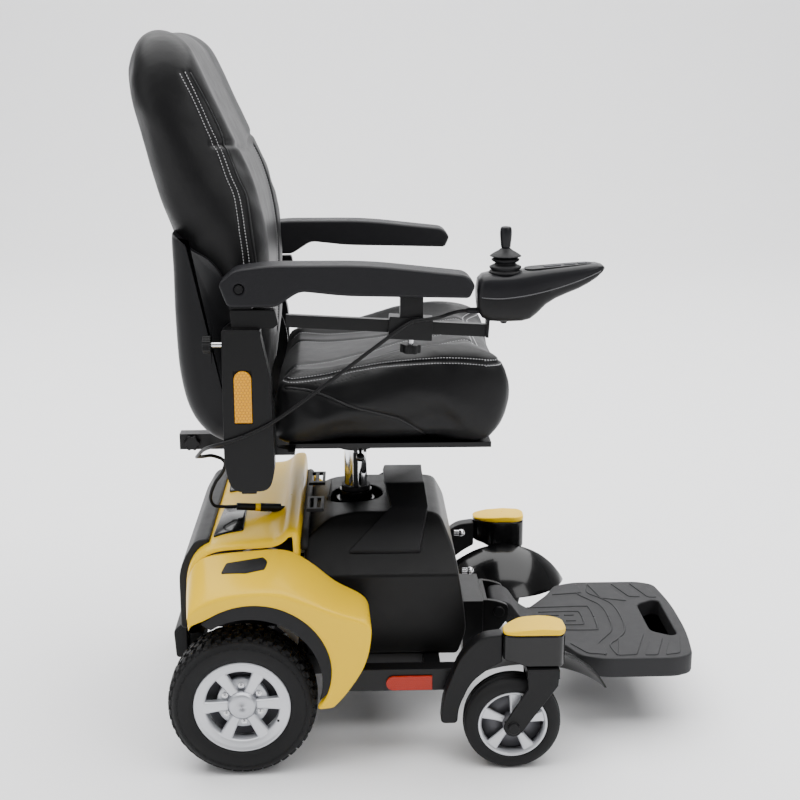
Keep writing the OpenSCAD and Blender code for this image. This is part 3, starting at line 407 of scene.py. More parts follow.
# %% Rubbers
tyre_rubber = moulded("tyre_rubber", (0.008, 0.008, 0.0085), 0.62, 700, 0.00015, 0.25)
soft_rubber = moulded("bellows_rubber", (0.006, 0.006, 0.007), 0.5, 1200, 0.00003)
cable_jacket = moulded("cable_jacket", (0.005, 0.005, 0.0055), 0.42, 900, 0.00003)
arm_skin = moulded("armrest_foam_skin", (0.008, 0.008, 0.0095), 0.5, 620, 0.00022)
print("rubbers made")


# %% [markdown]
# Metals keep their colour in the reflection. Cast and painted rims have a fine sparkle;
# turned and plated parts are smooth.


# %% Metals
def metal(name, colour, roughness, grain=400, depth=0.00002, metallic=1.0):
    made = Finish(name, metallic=metallic)
    fine = made.noise(grain, 4, 0.6)
    made.use(base_color=made.blend(fine, tuple(c * 0.9 for c in colour), colour),
             roughness=roughness + made.noise(35, 3) * 0.12 - 0.06,
             normal=made.bump(made.noise(grain * 4, 2), depth))
    return made


chrome = metal("bright_chrome", (0.83, 0.84, 0.86), 0.09, 120, 0.000004)
rim_silver = metal("silver_rim_paint", (0.62, 0.63, 0.66), 0.36, 900, 0.00003, 0.55)
# Dark grey for the drive rim's well and the caster's disc and hub. This is painted shade for the inside of the wheel
# seen between the spokes.
rim_inside_painted_shade = metal("rim_well_painted_shade", (0.10, 0.10, 0.11), 0.5, 600, 0.00004, 0.4)
cap_silver = metal("satin_hub_cap", (0.48, 0.49, 0.52), 0.34, 300, 0.00002, 0.8)
cast_grey = metal("cast_motor_grey", (0.14, 0.14, 0.15), 0.5, 300, 0.0001, 0.7)
bright_steel = metal("plated_steel", (0.72, 0.72, 0.74), 0.2, 500, 0.00001)
print("metals made")


# %% [markdown]
# A reflector is clear plastic over a sheet of tiny prisms. Three cosine waves at 120 degrees
# add up to a honeycomb, which darkens and dents the colour in a regular net.


# %% Reflectors
def reflector(name, colour, dark, pitch):
    made = Finish(name, coat_weight=0.15, coat_roughness=0.1, ior_level=0.3)
    across, up = made.axis("X"), made.axis("Z")
    k = math.tau / pitch
    net = (up * k).wave()
    net = net + ((across * 0.866 + up * 0.5) * k).wave()
    net = net + ((across * 0.866 - up * 0.5) * k).wave()
    cell = net.ramp(-1.6, 0.4)
    made.use(base_color=made.blend(cell, dark, colour), roughness=0.42 - cell * 0.2,
             normal=made.bump(cell, 0.0002))
    return made


amber = reflector("amber_reflector", (0.74, 0.34, 0.0), (0.45, 0.17, 0.0), 0.0042)
red_orange = reflector("side_reflector", (0.42, 0.016, 0.0), (0.22, 0.007, 0.0), 0.0030)
tail_rose = reflector("tail_reflector", (0.75, 0.16, 0.14), (0.5, 0.06, 0.05), 0.0040)
print("reflectors made")

# %% [markdown]
# The upholstery is a smooth black leather cloth. Its grain is a field of small soft cells with
# a slow tone change over it, and a faint sheen lifts it where it turns away. Rows of
# pinholes run along the sides of the seat, which a second lattice of dots cuts. Each hole is dented, and its darker
# colour is painted shade in the hole.

# %% Leather and thread


def leather(name, perforated=False):
    made = Finish(name, sheen_weight=0.02, sheen_roughness=0.5, ior_level=0.18)
    cells = made.cells(1100, "SMOOTH_F1") * 0.7 + made.noise(2600, 2) * 0.3
    folds = made.noise(26, 4, 0.55)
    tone = made.blend(made.noise(7, 3), (0.0040, 0.0040, 0.0044), (0.0068, 0.0068, 0.0075))
    if perforated:
        pitch = 0.0065
        x, y = made.axis("X"), made.axis("Y")
        k = math.tau / pitch
        dots = ((x * k).wave() + (y * k).wave()).ramp(1.1, 1.5)
        lane = y.math("ABSOLUTE", y).ramp(0.176, 0.178) * (
            y.math("ABSOLUTE", y) * -1).ramp(-0.206, -0.204)
        stretch = x.ramp(POST_X - 0.105, POST_X - 0.10) * (x * -1).ramp(
            -POST_X - 0.075, -POST_X - 0.07)
        pinhole_dents_and_shade = dots * lane * stretch * made.axis("Z").ramp(0.585, 0.59)
        # The pinholes are real dents. Their darker colour is painted shade inside each hole.
        tone = made.blend(pinhole_dents_and_shade, tone, (0.001, 0.001, 0.001))
        cells = cells - pinhole_dents_and_shade * 3
    grain = made.bump(cells, 0.00007)
    soft = made.node("Bump", inputs={"Height": folds, "Distance": 0.0016, "Strength": 0.6,
                                     "Normal": grain})
    made.use(base_color=tone, roughness=0.36 + made.noise(40, 4) * 0.14, normal=soft)
    return made


seat_leather = leather("black_seat_leather", perforated=True)
back_leather = leather("black_back_leather")
thread = moulded("light_grey_thread", (0.42, 0.42, 0.43), 0.7, 2500, 0.0001)
# The piping is a lighter black than the leather. That lighter colour is a painted highlight along each welt.
welt_leather_painted_highlight = moulded("welt_piping_painted_highlight", (0.02, 0.02, 0.021), 0.38, 1400, 0.00005)
print("leather made")


# %% [markdown]
# Most hard parts keep their CAD solids. A solid's edges are mathematically sharp, and real
# ones catch a thin line of light, so each node is welded, its flat faces are merged, and a
# small bevel is laid on the edges that are left. Modifiers do it, so the CAD mesh itself
# isn't touched.


# %% Dress the CAD nodes
def dress(node, finish, bevel=0.8, angle=32, segments=2):
    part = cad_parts[node]
    part.data.materials.clear()
    part.data.materials.append(finish.material)
    part.data.polygons.foreach_set("use_smooth", [True] * len(part.data.polygons))
    part.data.polygons.foreach_set("material_index", [0] * len(part.data.polygons))
    weld = part.modifiers.new("weld", "WELD")
    weld.merge_threshold = 0.00001
    flats = part.modifiers.new("flats", "DECIMATE")
    flats.decimate_type = "DISSOLVE"
    flats.angle_limit = math.radians(0.05)
    flats.delimit = {"MATERIAL"}
    edge = part.modifiers.new("edge", "BEVEL")
    edge.width = bevel * MM
    edge.segments = segments
    edge.limit_method = "ANGLE"
    edge.angle_limit = math.radians(angle)
    edge.use_clamp_overlap = False
    edge.miter_outer = "MITER_ARC"
    shading = part.modifiers.new("shading", "WEIGHTED_NORMAL")
    shading.weight = 60
    return part


def touch_up(node, finish, inside):
    """A second finish on the faces of a CAD node whose centres pass the test."""
    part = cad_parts[node]
    part.data.materials.append(finish.material)
    slot = len(part.data.materials) - 1
    for face in part.data.polygons:
        if inside(face.center):
            face.material_index = slot
    return part


PLAIN = {
    "chassis_frame": (frame_black, 1.0), "caster_arms": (arm_paint, 2.5),
    "caster_housings": (gloss_black, 3.0), "caster_guards": (gloss_black, 0.8),
    "toe_pads": (yellow_gloss, 2.2), "battery_cover": (cover_black, 4.0),
    "batteries": (panel_grey, 1.5), "column_cover": (panel_grey, 1.2),
    "post_socket": (gloss_black, 1.0),
    "rear_panel": (panel_grey, 3.0), "base_reflectors": (red_orange, 0.6),
    "arch_trims": (trim_black, 1.4),
    "drive_motors": (cast_grey, 1.0), "rear_bumper": (bumper_black, 2.0),
    "control_module": (cast_grey, 0.8), "footplate_bracket": (frame_black, 1.0),
    "base_bolts": (bright_steel, 0.4), "footplate": (foot_plastic, 3.0),
    "seat_post": (chrome, 0.4), "seat_frame": (frame_black, 0.3),
    "swivel_lever": (gloss_black, 0.5), "back_shell": (shell_black, 1.6),
    "rail_clamp": (frame_black, 0.8), "clamp_knob": (pod_lower, 0.6),
    "controller_rail": (frame_black, 0.6), "gimbal": (bright_steel, 0.2),
    "cable_plugs": (cable_jacket, 0.5),
}
PAIRS = {
    "freewheel_lever": (lever_grey, 0.8), "caster_fork": (arm_paint, 1.5),
    "arm_bracket": (cover_black, 0.8), "arm_reflector": (amber, 0.5),
    "armrest": (arm_skin, 4.5),
}
for node, (finish, bevel) in PLAIN.items():
    dress(node, finish, bevel)
for node, (finish, bevel) in PAIRS.items():
    for side in ("_r", "_l"):
        dress(node + side, finish, bevel, segments=3)
for key in ("key_speed", "key_power", "key_horn"):
    dress(key, key_grey, 0.5)
print("dressed", len(PLAIN) + 2 * len(PAIRS) + 3, "nodes")

# %% Second finishes
STRIP_Y, COLLAR_TOP = -0.0187, 0.381  # the post's dark scale strip and its lowest collar
touch_up("seat_post", trim_black, lambda c: c.y < STRIP_Y or c.z < COLLAR_TOP)
KNOB_TOP = 0.6755  # above it the clamp knob's screw is bare steel
touch_up("clamp_knob", bright_steel, lambda c: c.z > KNOB_TOP)
for side, sign in (("_r", -1), ("_l", 1)):
    touch_up("arm_bracket" + side, bright_steel,
             lambda c: c.x < at(-188.5, 0, 0).x and c.x > at(-204, 0, 0).x and c.z > 0.67)
    touch_up("arm_bracket" + side, frame_black,
             lambda c, s=sign: c.z < 0.475 and abs(c.y) < 0.254)
touch_up("base_reflectors", tail_rose, lambda c: c.x < at(-270, 0, 0).x)
plug_way = Vector((96, 22, -12)).normalized()
touch_up("cable_plugs", plug_yellow,
         lambda c: 0.030 < (c - PLUG_END).dot(plug_way) < 0.038)
for run in cable_runs.values():
    run.data.materials.append(cable_jacket.material)
print("second finishes on")

# %% [markdown]
# ## Shroud
# The yellow shroud is one blow of thin glossy plastic: a deck across the rear and a fender
# over each wheel. A fender is easiest to draw in sections that swing round the wheel. Each
# section starts at the arch, turns over the outer lip and climbs to the crest at the deck.

# %% Fenders
WHEEL_X, WHEEL_Z = -176, 114.5
FENDER = [  # angle round the wheel and radius of the arch, then the lip's and the crest's x and z
    (119, 156.5, -251, 263, -261, 266), (115, 156, -248, 273, -258, 296),
    (108, 156.5, -232, 286, -246, 322), (98, 163.5, -203, 297, -224, 336),
    (86, 170.5, -165, 303, -170, 342), (72, 174.5, -118, 302, -110, 344), (58, 173.5, -75, 288, -72, 324),
    (44, 167.5, -34, 271, -34, 292), (30, 156.5, 15, 254, 10, 266), (18, 143, 20, 226, 17, 236),
    (8, 129.5, 10, 184, 9, 191), (2, 119.5, -16, 142, -15, 148), (0, 117, -37, 118, -36, 122)]


def fender(side, sign):
    keys = [Vector((math.radians(k[0]), k[1], 0)) for k in FENDER]
    arcs = curve_through(keys, 4)
    lips = curve_through([Vector((k[2], 0, k[3])) for k in FENDER], 4)
    crests = curve_through([Vector((k[4], 0, k[5])) for k in FENDER], 4)
    rings = []
    for arc, lip, crest in zip(arcs, lips, crests):
        foot = Vector((WHEEL_X + arc.y * math.cos(arc.x), 0, WHEEL_Z + arc.y * math.sin(arc.x)))
        low, mid = foot.lerp(lip, 0.10), foot.lerp(lip, 0.90)
        over, high = lip.lerp(crest, 0.14), lip.lerp(crest, 0.9)
        section = ((foot, 272), (foot, 288.5), (low, 290.4), (mid, 291.2), (lip, 289.6),
                   (over, 284), (high, 222), (crest, 214), (crest - Vector((0, 0, 5)), 209))
        rings.append([at(p.x, sign * y, p.z) for p, y in section])
    made = mesh_object("fender_" + side, *skin(rings, closed_ring=False, caps=False))
    wall = made.modifiers.new("wall", "SOLIDIFY")
    wall.thickness, wall.offset = 0.003, 0
    made.modifiers.new("finer", "SUBSURF").levels = 1
    made.data.materials.append(yellow_gloss.material)
    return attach(made, "base")


fenders = [fender("r", -1), fender("l", 1)]
print("fenders made of", len(FENDER), "key sections each")

# %% Deck
DECK_LINE = [(-262, 206), (-262, 262), (-261, 296), (-254, 320), (-240, 338), (-218, 349), (-190, 353),
             (-150, 355), (-128, 357), (-116, 363), (-108, 371), (-96, 373), (-90, 369), (-88, 352),
             (-88, 320)]
line = curve_through([Vector((x, 0, z)) for x, z in DECK_LINE], 3)
lean = outward(line + [Vector((-88, 0, 206))])
rings = []
for y in (-213.5, -211, -206, -198, -120, -104, 104, 120, 198, 206, 211, 213.5):
    inset = {213.5: 9, 211: 4, 206: 1.2}.get(abs(y), 0)
    rings.append([at(p.x - d.x * inset, y, p.z - d.z * inset) for p, d in zip(line, lean)])
deck = mesh_object("shroud_deck", *skin(rings, closed_ring=False, caps=False))
wall = deck.modifiers.new("wall", "SOLIDIFY")
wall.thickness, wall.offset = 0.003, 0
deck.modifiers.new("finer", "SUBSURF").levels = 1
deck.data.materials.append(yellow_gloss.material)
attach(deck, "base")
seal = tube("shroud_seal", [at(-82, y, 340) for y in (-188, -120, 0, 120, 188)], 0.007, 14)
seal.data.materials.append(trim_black.material)
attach(seal, "base")
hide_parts("rear_shroud", "shroud_vents")
for piece in fenders + [deck]:
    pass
print("deck made")


# %% [markdown]
# Dark inserts fill the openings: two windows in the deck and a louvre slot in each shoulder.
# Each one is an outline dropped onto the shroud, lifted a little and closed into a thin pad.

# %% Shroud inserts
def rounded(corners, r=5):
    """Corner points replaced by short arcs."""
    out, n = [], len(corners)
    for i in range(n):
        a, b, c = (Vector((*corners[(i + k) % n], 0)) for k in (-1, 0, 1))
        s, e = b + (a - b).normalized() * r, b + (c - b).normalized() * r
        out += [s * (1 - t) ** 2 + b * 2 * t * (1 - t) + e * t * t
                for t in (0, 0.25, 0.5, 0.75, 1)]
    return out


def insert(name, piece, guides, towards, finish, lift=0.0012):
    tree = surface_of(piece)
    ring = []
    for p in guides:
        hit, normal, _, _ = tree.ray_cast(p - towards * 0.3, towards, 0.9)
        if hit is not None:
            ring.append((hit, normal if normal.dot(towards) < 0 else -normal))
    heart = sum((p for p, _ in ring), Vector()) / len(ring)
    rings = [[p - n * 0.002 for p, n in ring], [p + n * lift * 0.5 for p, n in ring],
             [p + (heart - p) * 0.04 + n * lift for p, n in ring]]
    made = mesh_object(name, *skin(rings))
    made.data.materials.append(finish.material)
    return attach(made, "base")


for sign, piece, side in ((-1, fenders[0], "r"), (1, fenders[1], "l")):
    slot_line = rounded([(-204, 321), (-197, 331), (-141, 338), (-134, 334), (-138, 327),
                         (-166, 323)], 2.5)
    insert("shoulder_louvre_" + side, piece, [at(p.x, sign * 300, p.y) for p in slot_line],
           Vector((0, -sign, 0)), trim_black)
    pane = rounded([(-216, 44 * sign), (-178, 44 * sign), (-176, 158 * sign), (-222, 172 * sign)])
    insert("deck_window_" + side, deck, [at(p.x, p.y, 500) for p in pane], Vector((0, 0, -1)),
           gloss_black, lift=0.0036)
print("inserts placed")

# %% [markdown]
# ## Tyres
# A drive tyre is a thick ring with knobs. The ring is a profile turned about the axle; each
# knob is a small block that follows the profile's curve, so one function lays blocks in rows.
# It works in the tyre's own plane: an angle round the axle, and a place across the tread.


# %% Turned shapes
def turned(name, profile, centre, turns=96, start=0.0):
    """Turns a profile of (radius, y) pairs, in metres, about an axle along Y."""
    rings = []
    for i in range(turns):
        a = start + i * math.tau / turns
        rings.append([centre + Vector((r * math.cos(a), y, r * math.sin(a))) for r, y in profile])
    return mesh_object(name, *skin(rings, closed_sweep=True))


def middle(node):
    low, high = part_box(node)
    return (low + high) / 2


def tread_blocks(rows, centre, section, count):
    """Blocks for a tread. Each row gives (start, end) across the section in shares, the
    share of the pitch it fills, its offset and its skew."""
    points, faces = [], []
    for low, high, fill, offset, skew in rows:
        for i in range(count):
            base = len(points)
            for layer, lift, grow in ((0, -0.001, 1.06), (1, 0, 0.86)):
                for step in range(4):
                    t = low + (high - low) * (step / 3 if layer == 0 else 0.06 + 0.88 * step / 3)
                    r, y, nr, ny = section(t)
                    height = TREAD_H if layer else lift
                    for edge in (-0.5, 0.5):
                        turn = i + offset + edge * fill * grow + skew * (t - low)
                        a = turn * math.tau / count
                        radius = r + nr * height
                        points.append(centre + Vector((radius * math.cos(a), y + ny * height,
                                                       radius * math.sin(a))))
            for step in range(3):
                b, t = base + step * 2, base + 8 + step * 2
                faces += [(t, t + 1, t + 3, t + 2), (b, t, t + 2, b + 2),
                          (b + 1, b + 3, t + 3, t + 1)]
            faces += [(base, base + 1, base + 9, base + 8), (base + 6, base + 14, base + 15, base + 7)]
    return points, faces


TREAD_H = 0.0042


def section_of(profile):
    """Place, and outward direction, at a share of the way along a profile."""
    spans = [math.dist(a, b) for a, b in zip(profile, profile[1:])]
    whole = sum(spans)

    def found(share):
        left = share * whole
        for (a, b), span in zip(zip(profile, profile[1:]), spans):
            if left <= span or (a, b) == (profile[-2], profile[-1]):
                f = left / span
                nr, ny = -(b[1] - a[1]) / span, (b[0] - a[0]) / span
                out = 1 if nr > 0 or (nr == 0) else -1
                return a[0] + (b[0] - a[0]) * f, a[1] + (b[1] - a[1]) * f, abs(nr), -ny * out
            left -= span
    return found


print("turning helpers ready")

# %% Drive tyres
for side in ("r", "l"):
    low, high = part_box("drive_tyre_" + side)
    centre = (low + high) / 2
    tyre_r, half = (high.z - low.z) / 2, (high.y - low.y) / 2
    body_r = tyre_r - TREAD_H
    bead = 0.0732
    side_wall = [(bead, 0.031), (bead + 0.004, 0.0345), (0.084, half - 0.0005),
                 (0.094, half), (0.1015, half - 0.0012), (0.1062, half - 0.0045)]
    crown = [(body_r - 0.0016, half - 0.012), (body_r - 0.0004, half - 0.020), (body_r, 0.006)]
    half_line = side_wall + crown
    profile = half_line + [(r, -y) for r, y in reversed(half_line)]
    tyre = turned("drive_tyre_" + side + "_rubber", profile, centre)
    tyre.data.materials.append(tyre_rubber.material)
    band = [(0.0985, half - 0.0008), (0.1040, half - 0.0028), (body_r - 0.0022, half - 0.0085),
            (body_r - 0.0006, half - 0.017), (body_r, half - 0.024)]
    band += [(r, -y) for r, y in reversed(band)]
    section = section_of(band)
    rows = [(0.0, 0.16, 0.60, 0.0, 0.3), (0.19, 0.33, 0.62, 0.5, -1.2), (0.36, 0.49, 0.66, 0.1, 1.4),
            (0.51, 0.64, 0.66, 0.6, -1.4), (0.67, 0.81, 0.62, 0.0, 1.2), (0.84, 1.0, 0.60, 0.5, -0.3)]
    knobs = mesh_object("drive_tread_" + side, *tread_blocks(rows, centre, section, 44), smooth=False)
    knobs.data.materials.append(tyre_rubber.material)
    for piece in (tyre, knobs):
        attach(piece, "drive_wheel_" + side)
    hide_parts("drive_tyre_" + side)
    print("drive tyre", side, "with", len(rows) * 44, "knobs")

# %% [markdown]
# A caster's tyre is smooth on the sides with three ribs round the tread, so it is one turned
# profile with two grooves.

# %% Caster tyres
for side in ("r", "l"):
    low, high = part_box("caster_tyre_" + side)
    centre = (low + high) / 2
    r, half = (high.z - low.z) / 2, (high.y - low.y) / 2
    wall = [(0.0532, half - 0.003), (0.056, half - 0.0006), (0.060, half), (r - 0.010, half - 0.0006),
            (r - 0.0045, half - 0.0035), (r - 0.0016, half - 0.0075)]
    ribs = [(r - 0.0012, 0.0085), (r - 0.0042, 0.0078), (r - 0.0042, 0.0062), (r - 0.0004, 0.0054),
            (r, 0.0015)]
    half_line = wall + ribs
    profile = half_line + [(a, -y) for a, y in reversed(half_line)]
    tyre = turned("caster_tyre_" + side + "_rubber", profile, centre)
    tyre.data.materials.append(tyre_rubber.material)
    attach(tyre, "caster_wheel_" + side)
    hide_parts("caster_tyre_" + side)
    print("caster tyre", side, "radius", round(r, 4))

# %% [markdown]
# ## Rims
# A cast rim is a ring with a sloping face, a well behind it painted dark grey as painted shade for the wheel's
# inside, spokes that widen outwards, a flange with bolts and a hub cap. The ring, well, flange and cap are turned; a
# spoke is a short loft that narrows towards the hub and is bevelled by its own ring of points.


# %% Rim helpers
def spokes(name, centre, face, count, start, r0, r1, w0, w1, thick, rise):
    """Tapered spokes: from radius r0, w0 wide, to r1, w1 wide. face is the outer side's sign."""
    points, faces = [], []
    for i in range(count):
        a = math.radians(start) + i * math.tau / count
        out = Vector((math.cos(a), 0, math.sin(a)))
        across = Vector((-math.sin(a), 0, math.cos(a)))
        base, steps = len(points), 7
        for s in range(steps):
            t = s / (steps - 1)
            r, w = r0 + (r1 - r0) * t, (w0 + (w1 - w0) * t ** 1.6) / 2
            top = rise[0] + (rise[1] - rise[0]) * t
            for dy, dw in ((top - thick, w), (top - 0.0022, w), (top, w - 0.0022),
                           (top, -w + 0.0022), (top - 0.0022, -w), (top - thick, -w)):
                points.append(centre + out * r + across * dw + Vector((0, face * dy, 0)))
        for s in range(steps - 1):
            for k in range(6):
                p, q = base + s * 6, base + (s + 1) * 6
                faces.append((p + k, p + (k + 1) % 6, q + (k + 1) % 6, q + k))
        faces += [tuple(base + k for k in range(6)),
                  tuple(base + (steps - 1) * 6 + k for k in range(6))]
    return mesh_object(name, points, faces, smooth=False)


def soften(piece, width=0.0006, segments=2, angle=35):
    edge = piece.modifiers.new("edge", "BEVEL")
    edge.width, edge.segments = width, segments
    edge.limit_method, edge.angle_limit = "ANGLE", math.radians(angle)
    piece.data.polygons.foreach_set("use_smooth", [True] * len(piece.data.polygons))
    piece.modifiers.new("shading", "WEIGHTED_NORMAL").weight = 60
    return piece


def bolts(name, centre, face, count, start, r, top, size, height):
    """Hexagon bolts on washers, in a circle of radius r round the axle."""
    parts = []
    for i in range(count):
        a = math.radians(start) + i * math.tau / count
        hub = centre + Vector((r * math.cos(a), face * top, r * math.sin(a)))
        for sides, radius, y0, y1 in ((20, size * 1.35, -height, -height * 0.35),
                                      (6, size, -height, 0), (16, size * 0.5, -height, height * 0.4)):
            rings = [[hub + Vector((rr * math.cos(b), face * y, rr * math.sin(b)))
                      for b in (k * math.tau / sides for k in range(sides))]
                     for rr, y in ((radius, y0), (radius, y1 - 0.0004), (radius - 0.0004, y1))]
            parts.append(skin(rings))
    return mesh_object(name, *gathered(parts), smooth=False)


def wheel_pieces(pieces, body):
    for piece, finish in pieces:
        piece.data.materials.append(finish.material)
        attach(piece, body)


print("rim helpers ready")

# %% Drive rims
for side, face in (("r", -1), ("l", 1)):
    centre = middle("drive_tyre_" + side)
    name = "drive_rim_" + side
    ring = turned(name + "_ring", [(r, face * y) for r, y in (
        (0.0742, 0.024), (0.0742, 0.0325), (0.0728, 0.0338), (0.0712, 0.0338), (0.0700, 0.0326),
        (0.0665, 0.0318), (0.0600, 0.0302), (0.0575, 0.0290), (0.0568, 0.0265), (0.0560, 0.016),
        (0.0600, 0.004), (0.0660, -0.02), (0.0742, -0.031), (0.0742, -0.02))], centre)
    well = turned(name + "_well", [(r, face * y) for r, y in (
        (0.0560, 0.010), (0.0560, 0.006), (0.0390, 0.004), (0.0300, -0.004), (0.0090, -0.006),
        (0.0090, -0.008), (0.0620, -0.010))], centre, 64)
    flange = turned(name + "_flange", [(r, face * y) for r, y in (
        (0.0100, 0.0175), (0.0385, 0.0175), (0.0402, 0.0160), (0.0402, 0.0060), (0.0100, 0.0060))],
        centre, 72)
    cap = turned(name + "_cap", [(r, face * y) for r, y in (
        (0.0003, 0.0322), (0.0120, 0.0321), (0.0185, 0.0316), (0.0200, 0.0308), (0.0207, 0.0290),
        (0.0222, 0.0280), (0.0230, 0.0262), (0.0230, 0.0160), (0.0003, 0.0160))], centre, 64)
    arms = soften(spokes(name + "_spokes", centre, face, 6, 3, 0.0200, 0.0600, 0.0148, 0.0205,
                         0.0110, (0.0262, 0.0300)))
    nuts = soften(bolts(name + "_bolts", centre, face, 6, 33, 0.0300, 0.0215, 0.0036, 0.0045), 0.0003)
    valve = tube(name + "_valve", [centre + Vector((0.0545, face * y, -0.0245))
                                   for y in (0.012, 0.020, 0.027, 0.031)],
                 0.0023, 12, lambda t: 1.0 if t < 0.9 else 0.8)
    axle = turned(name + "_axle", [(0.0085, face * 0.0150), (0.0085, -face * 0.0830),
                                   (0.0005, -face * 0.0830), (0.0005, face * 0.0150)], centre, 32)
    wheel_pieces([(ring, rim_silver), (well, rim_inside_painted_shade), (flange, rim_silver), (cap, cap_silver),
                  (arms, rim_silver), (nuts, bright_steel), (valve, trim_black), (axle, bright_steel)],
                 "drive_wheel_" + side)
    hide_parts("drive_rim_" + side)
    print("drive rim", side, "made of 8 pieces")

# %% Caster rims
for side in ("r", "l"):
    centre = middle("caster_tyre_" + side)
    name = "caster_rim_" + side
    pieces = []
    for face, tag in ((-1, "_right"), (1, "_left")):
        ring = turned(name + tag + "_ring", [(r, face * y) for r, y in (
            (0.0540, 0.012), (0.0540, 0.0192), (0.0530, 0.0202), (0.0512, 0.0202), (0.0500, 0.0190),
            (0.0480, 0.0150), (0.0480, 0.0010), (0.0540, 0.0010))], centre, 80)
        arms = soften(spokes(name + tag + "_spokes", centre, face, 5, 14, 0.0120, 0.0490, 0.0100,
                             0.0205, 0.0060, (0.0150, 0.0165)))
        pieces += [(ring, rim_silver), (arms, rim_silver)]
    # The disc and hub are dark grey as painted shade between the two spoke halves.
    disc = turned(name + "_disc", [(0.0487, 0.0030), (0.0487, -0.0030), (0.0063, -0.0030),
                                   (0.0063, 0.0030)], centre, 64)
    hub = turned(name + "_hub", [(0.0061, 0.0222), (0.0150, 0.0222), (0.0160, 0.0210), (0.0160, -0.0210),
                                 (0.0150, -0.0222), (0.0061, -0.0222)], centre, 48)
    pieces += [(disc, rim_inside_painted_shade), (hub, rim_inside_painted_shade)]
    wheel_pieces(pieces, "caster_wheel_" + side)
    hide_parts(name)
    print("caster rim", side, "made of", len(pieces), "pieces")

# %% [markdown]
# ## Cushions
# A cushion starts as a loft: its side outline is repeated across the chair, drawn in towards
# both sides so that the edges are round. It is made a little small, voxels give it an even
# mesh, and Blender's cloth blows it up with air pressure, as foam fills a cover. How far a
# point may move is capped, so the cushion keeps its drawn shape. Seams come afterwards,
# because the voxels would wipe them out.


# %% Cushion helpers
def pillow(name, outline, half, edge, start, shape=lambda *p: p, slices=40, only_rear=False):
    """Lofts an XZ outline across Y. edge is the roundness of the sides, start how much smaller
    it is made, and shape moves each point (x, y, z in millimetres) to its final form."""
    share = (lambda d: ease(-0.1, 0.5, -d.x - 0.6 * d.z)) if only_rear else (lambda d: 1)
    ring = curve_through([Vector((x, 0, z)) for x, z in outline], 6, closed=True)
    away = outward(ring)
    w = half - start
    rings = []
    for i in range(slices + 1):
        y = -w * math.cos(math.pi * i / slices)
        past = max(0.0, abs(y) - (w - edge))
        inset = start + edge - math.sqrt(max(edge * edge - past * past, 0.0))
        rings.append([at(*shape(p.x - d.x * inset * share(d), y, p.z - d.z * inset * share(d)))
                      for p, d in zip(ring, away)])
    return mesh_object(name, *skin(rings))


def apply_modifiers(piece):
    graph = bpy.context.evaluated_depsgraph_get()
    graph.update()
    done = bpy.data.meshes.new_from_object(piece.evaluated_get(graph), depsgraph=graph)
    piece.modifiers.clear()
    piece.data = done
    return piece


def voxels(piece, size):
    remesh = piece.modifiers.new("voxels", "REMESH")
    remesh.mode, remesh.voxel_size = "VOXEL", size
    return apply_modifiers(piece)


def inflate(piece, cap, pressure=4):
    """Cloth with air pressure; no point moves further than cap, in metres."""
    rest = [v.co.copy() for v in piece.data.vertices]
    cloth = piece.modifiers.new("cloth", "CLOTH")
    cloth.settings.use_pressure = True
    cloth.settings.uniform_pressure_force = pressure
    cloth.settings.effector_weights.gravity = 0
    for step in range(1, 21):
        bpy.context.scene.frame_set(step)
    graph = bpy.context.evaluated_depsgraph_get()
    blown = [v.co.copy() for v in piece.evaluated_get(graph).data.vertices]
    piece.modifiers.clear()
    bpy.context.scene.frame_set(1)
    for v, a, b in zip(piece.data.vertices, rest, blown):
        move = b - a
        v.co = a + move * min(1.0, cap / max(move.length, 1e-9))
    piece.data.update()
    return piece


def smooth_once(piece, times=6):
    relax = piece.modifiers.new("relax", "SMOOTH")
    relax.iterations = times
    return apply_modifiers(piece)


def subdivide(piece):
    piece.modifiers.new("finer", "SUBSURF").levels = 1
    return apply_modifiers(piece)


def lay_on(tree, guides, towards, steps=14):
    """Drops a guide line onto a surface along a direction. Gives (point, normal) pairs."""
    found = []
    for p in curve_through(guides, steps):
        hit, normal, _, _ = tree.ray_cast(p - towards * 0.3, towards, 0.9)
        if hit is not None:
            found.append((hit, normal if normal.dot(towards) < 0 else -normal))
    return found


def even(path, step):
    """Respaces (point, normal) pairs evenly."""
    out, carry = [path[0]], 0.0
    for (a, na), (b, nb) in zip(path, path[1:]):
        span = (b - a).length
        while span > 1e-9 and carry + span >= step:
            f = (step - carry) / span
            a, na = a.lerp(b, f), na.lerp(nb, f).normalized()
            out.append((a, na))
            span, carry = (b - a).length, 0.0
        carry += span
    return out


def groove(piece, lines, depth, width):
    """Pulls the cover in along sewn lines."""
    spots = [p for line in lines for p, _ in even(line, 0.002)]
    near = KDTree(len(spots))
    for i, p in enumerate(spots):
        near.insert(p, i)
    near.balance()
    normals = [v.normal.copy() for v in piece.data.vertices]
    for v, n in zip(piece.data.vertices, normals):
        _, _, d = near.find(v.co)
        if d < 4 * width:
            v.co -= n * depth * math.exp(-(d / width) ** 2)
    piece.data.update()
    return piece


def shifted(line, offset):
    """A line moved sideways over its surface."""
    out = []
    for i, (p, n) in enumerate(line):
        along = line[min(i + 1, len(line) - 1)][0] - line[max(i - 1, 0)][0]
        out.append((p + along.cross(n).normalized() * offset, n))
    return out


# how far along a stitch, its thickness there, and how far it stands off the cover
THREAD_SHAPE = ((0, 0.35, -0.4), (0.18, 0.9, 0.35), (0.5, 1, 0.75), (0.82, 0.9, 0.35), (1, 0.35, -0.4))


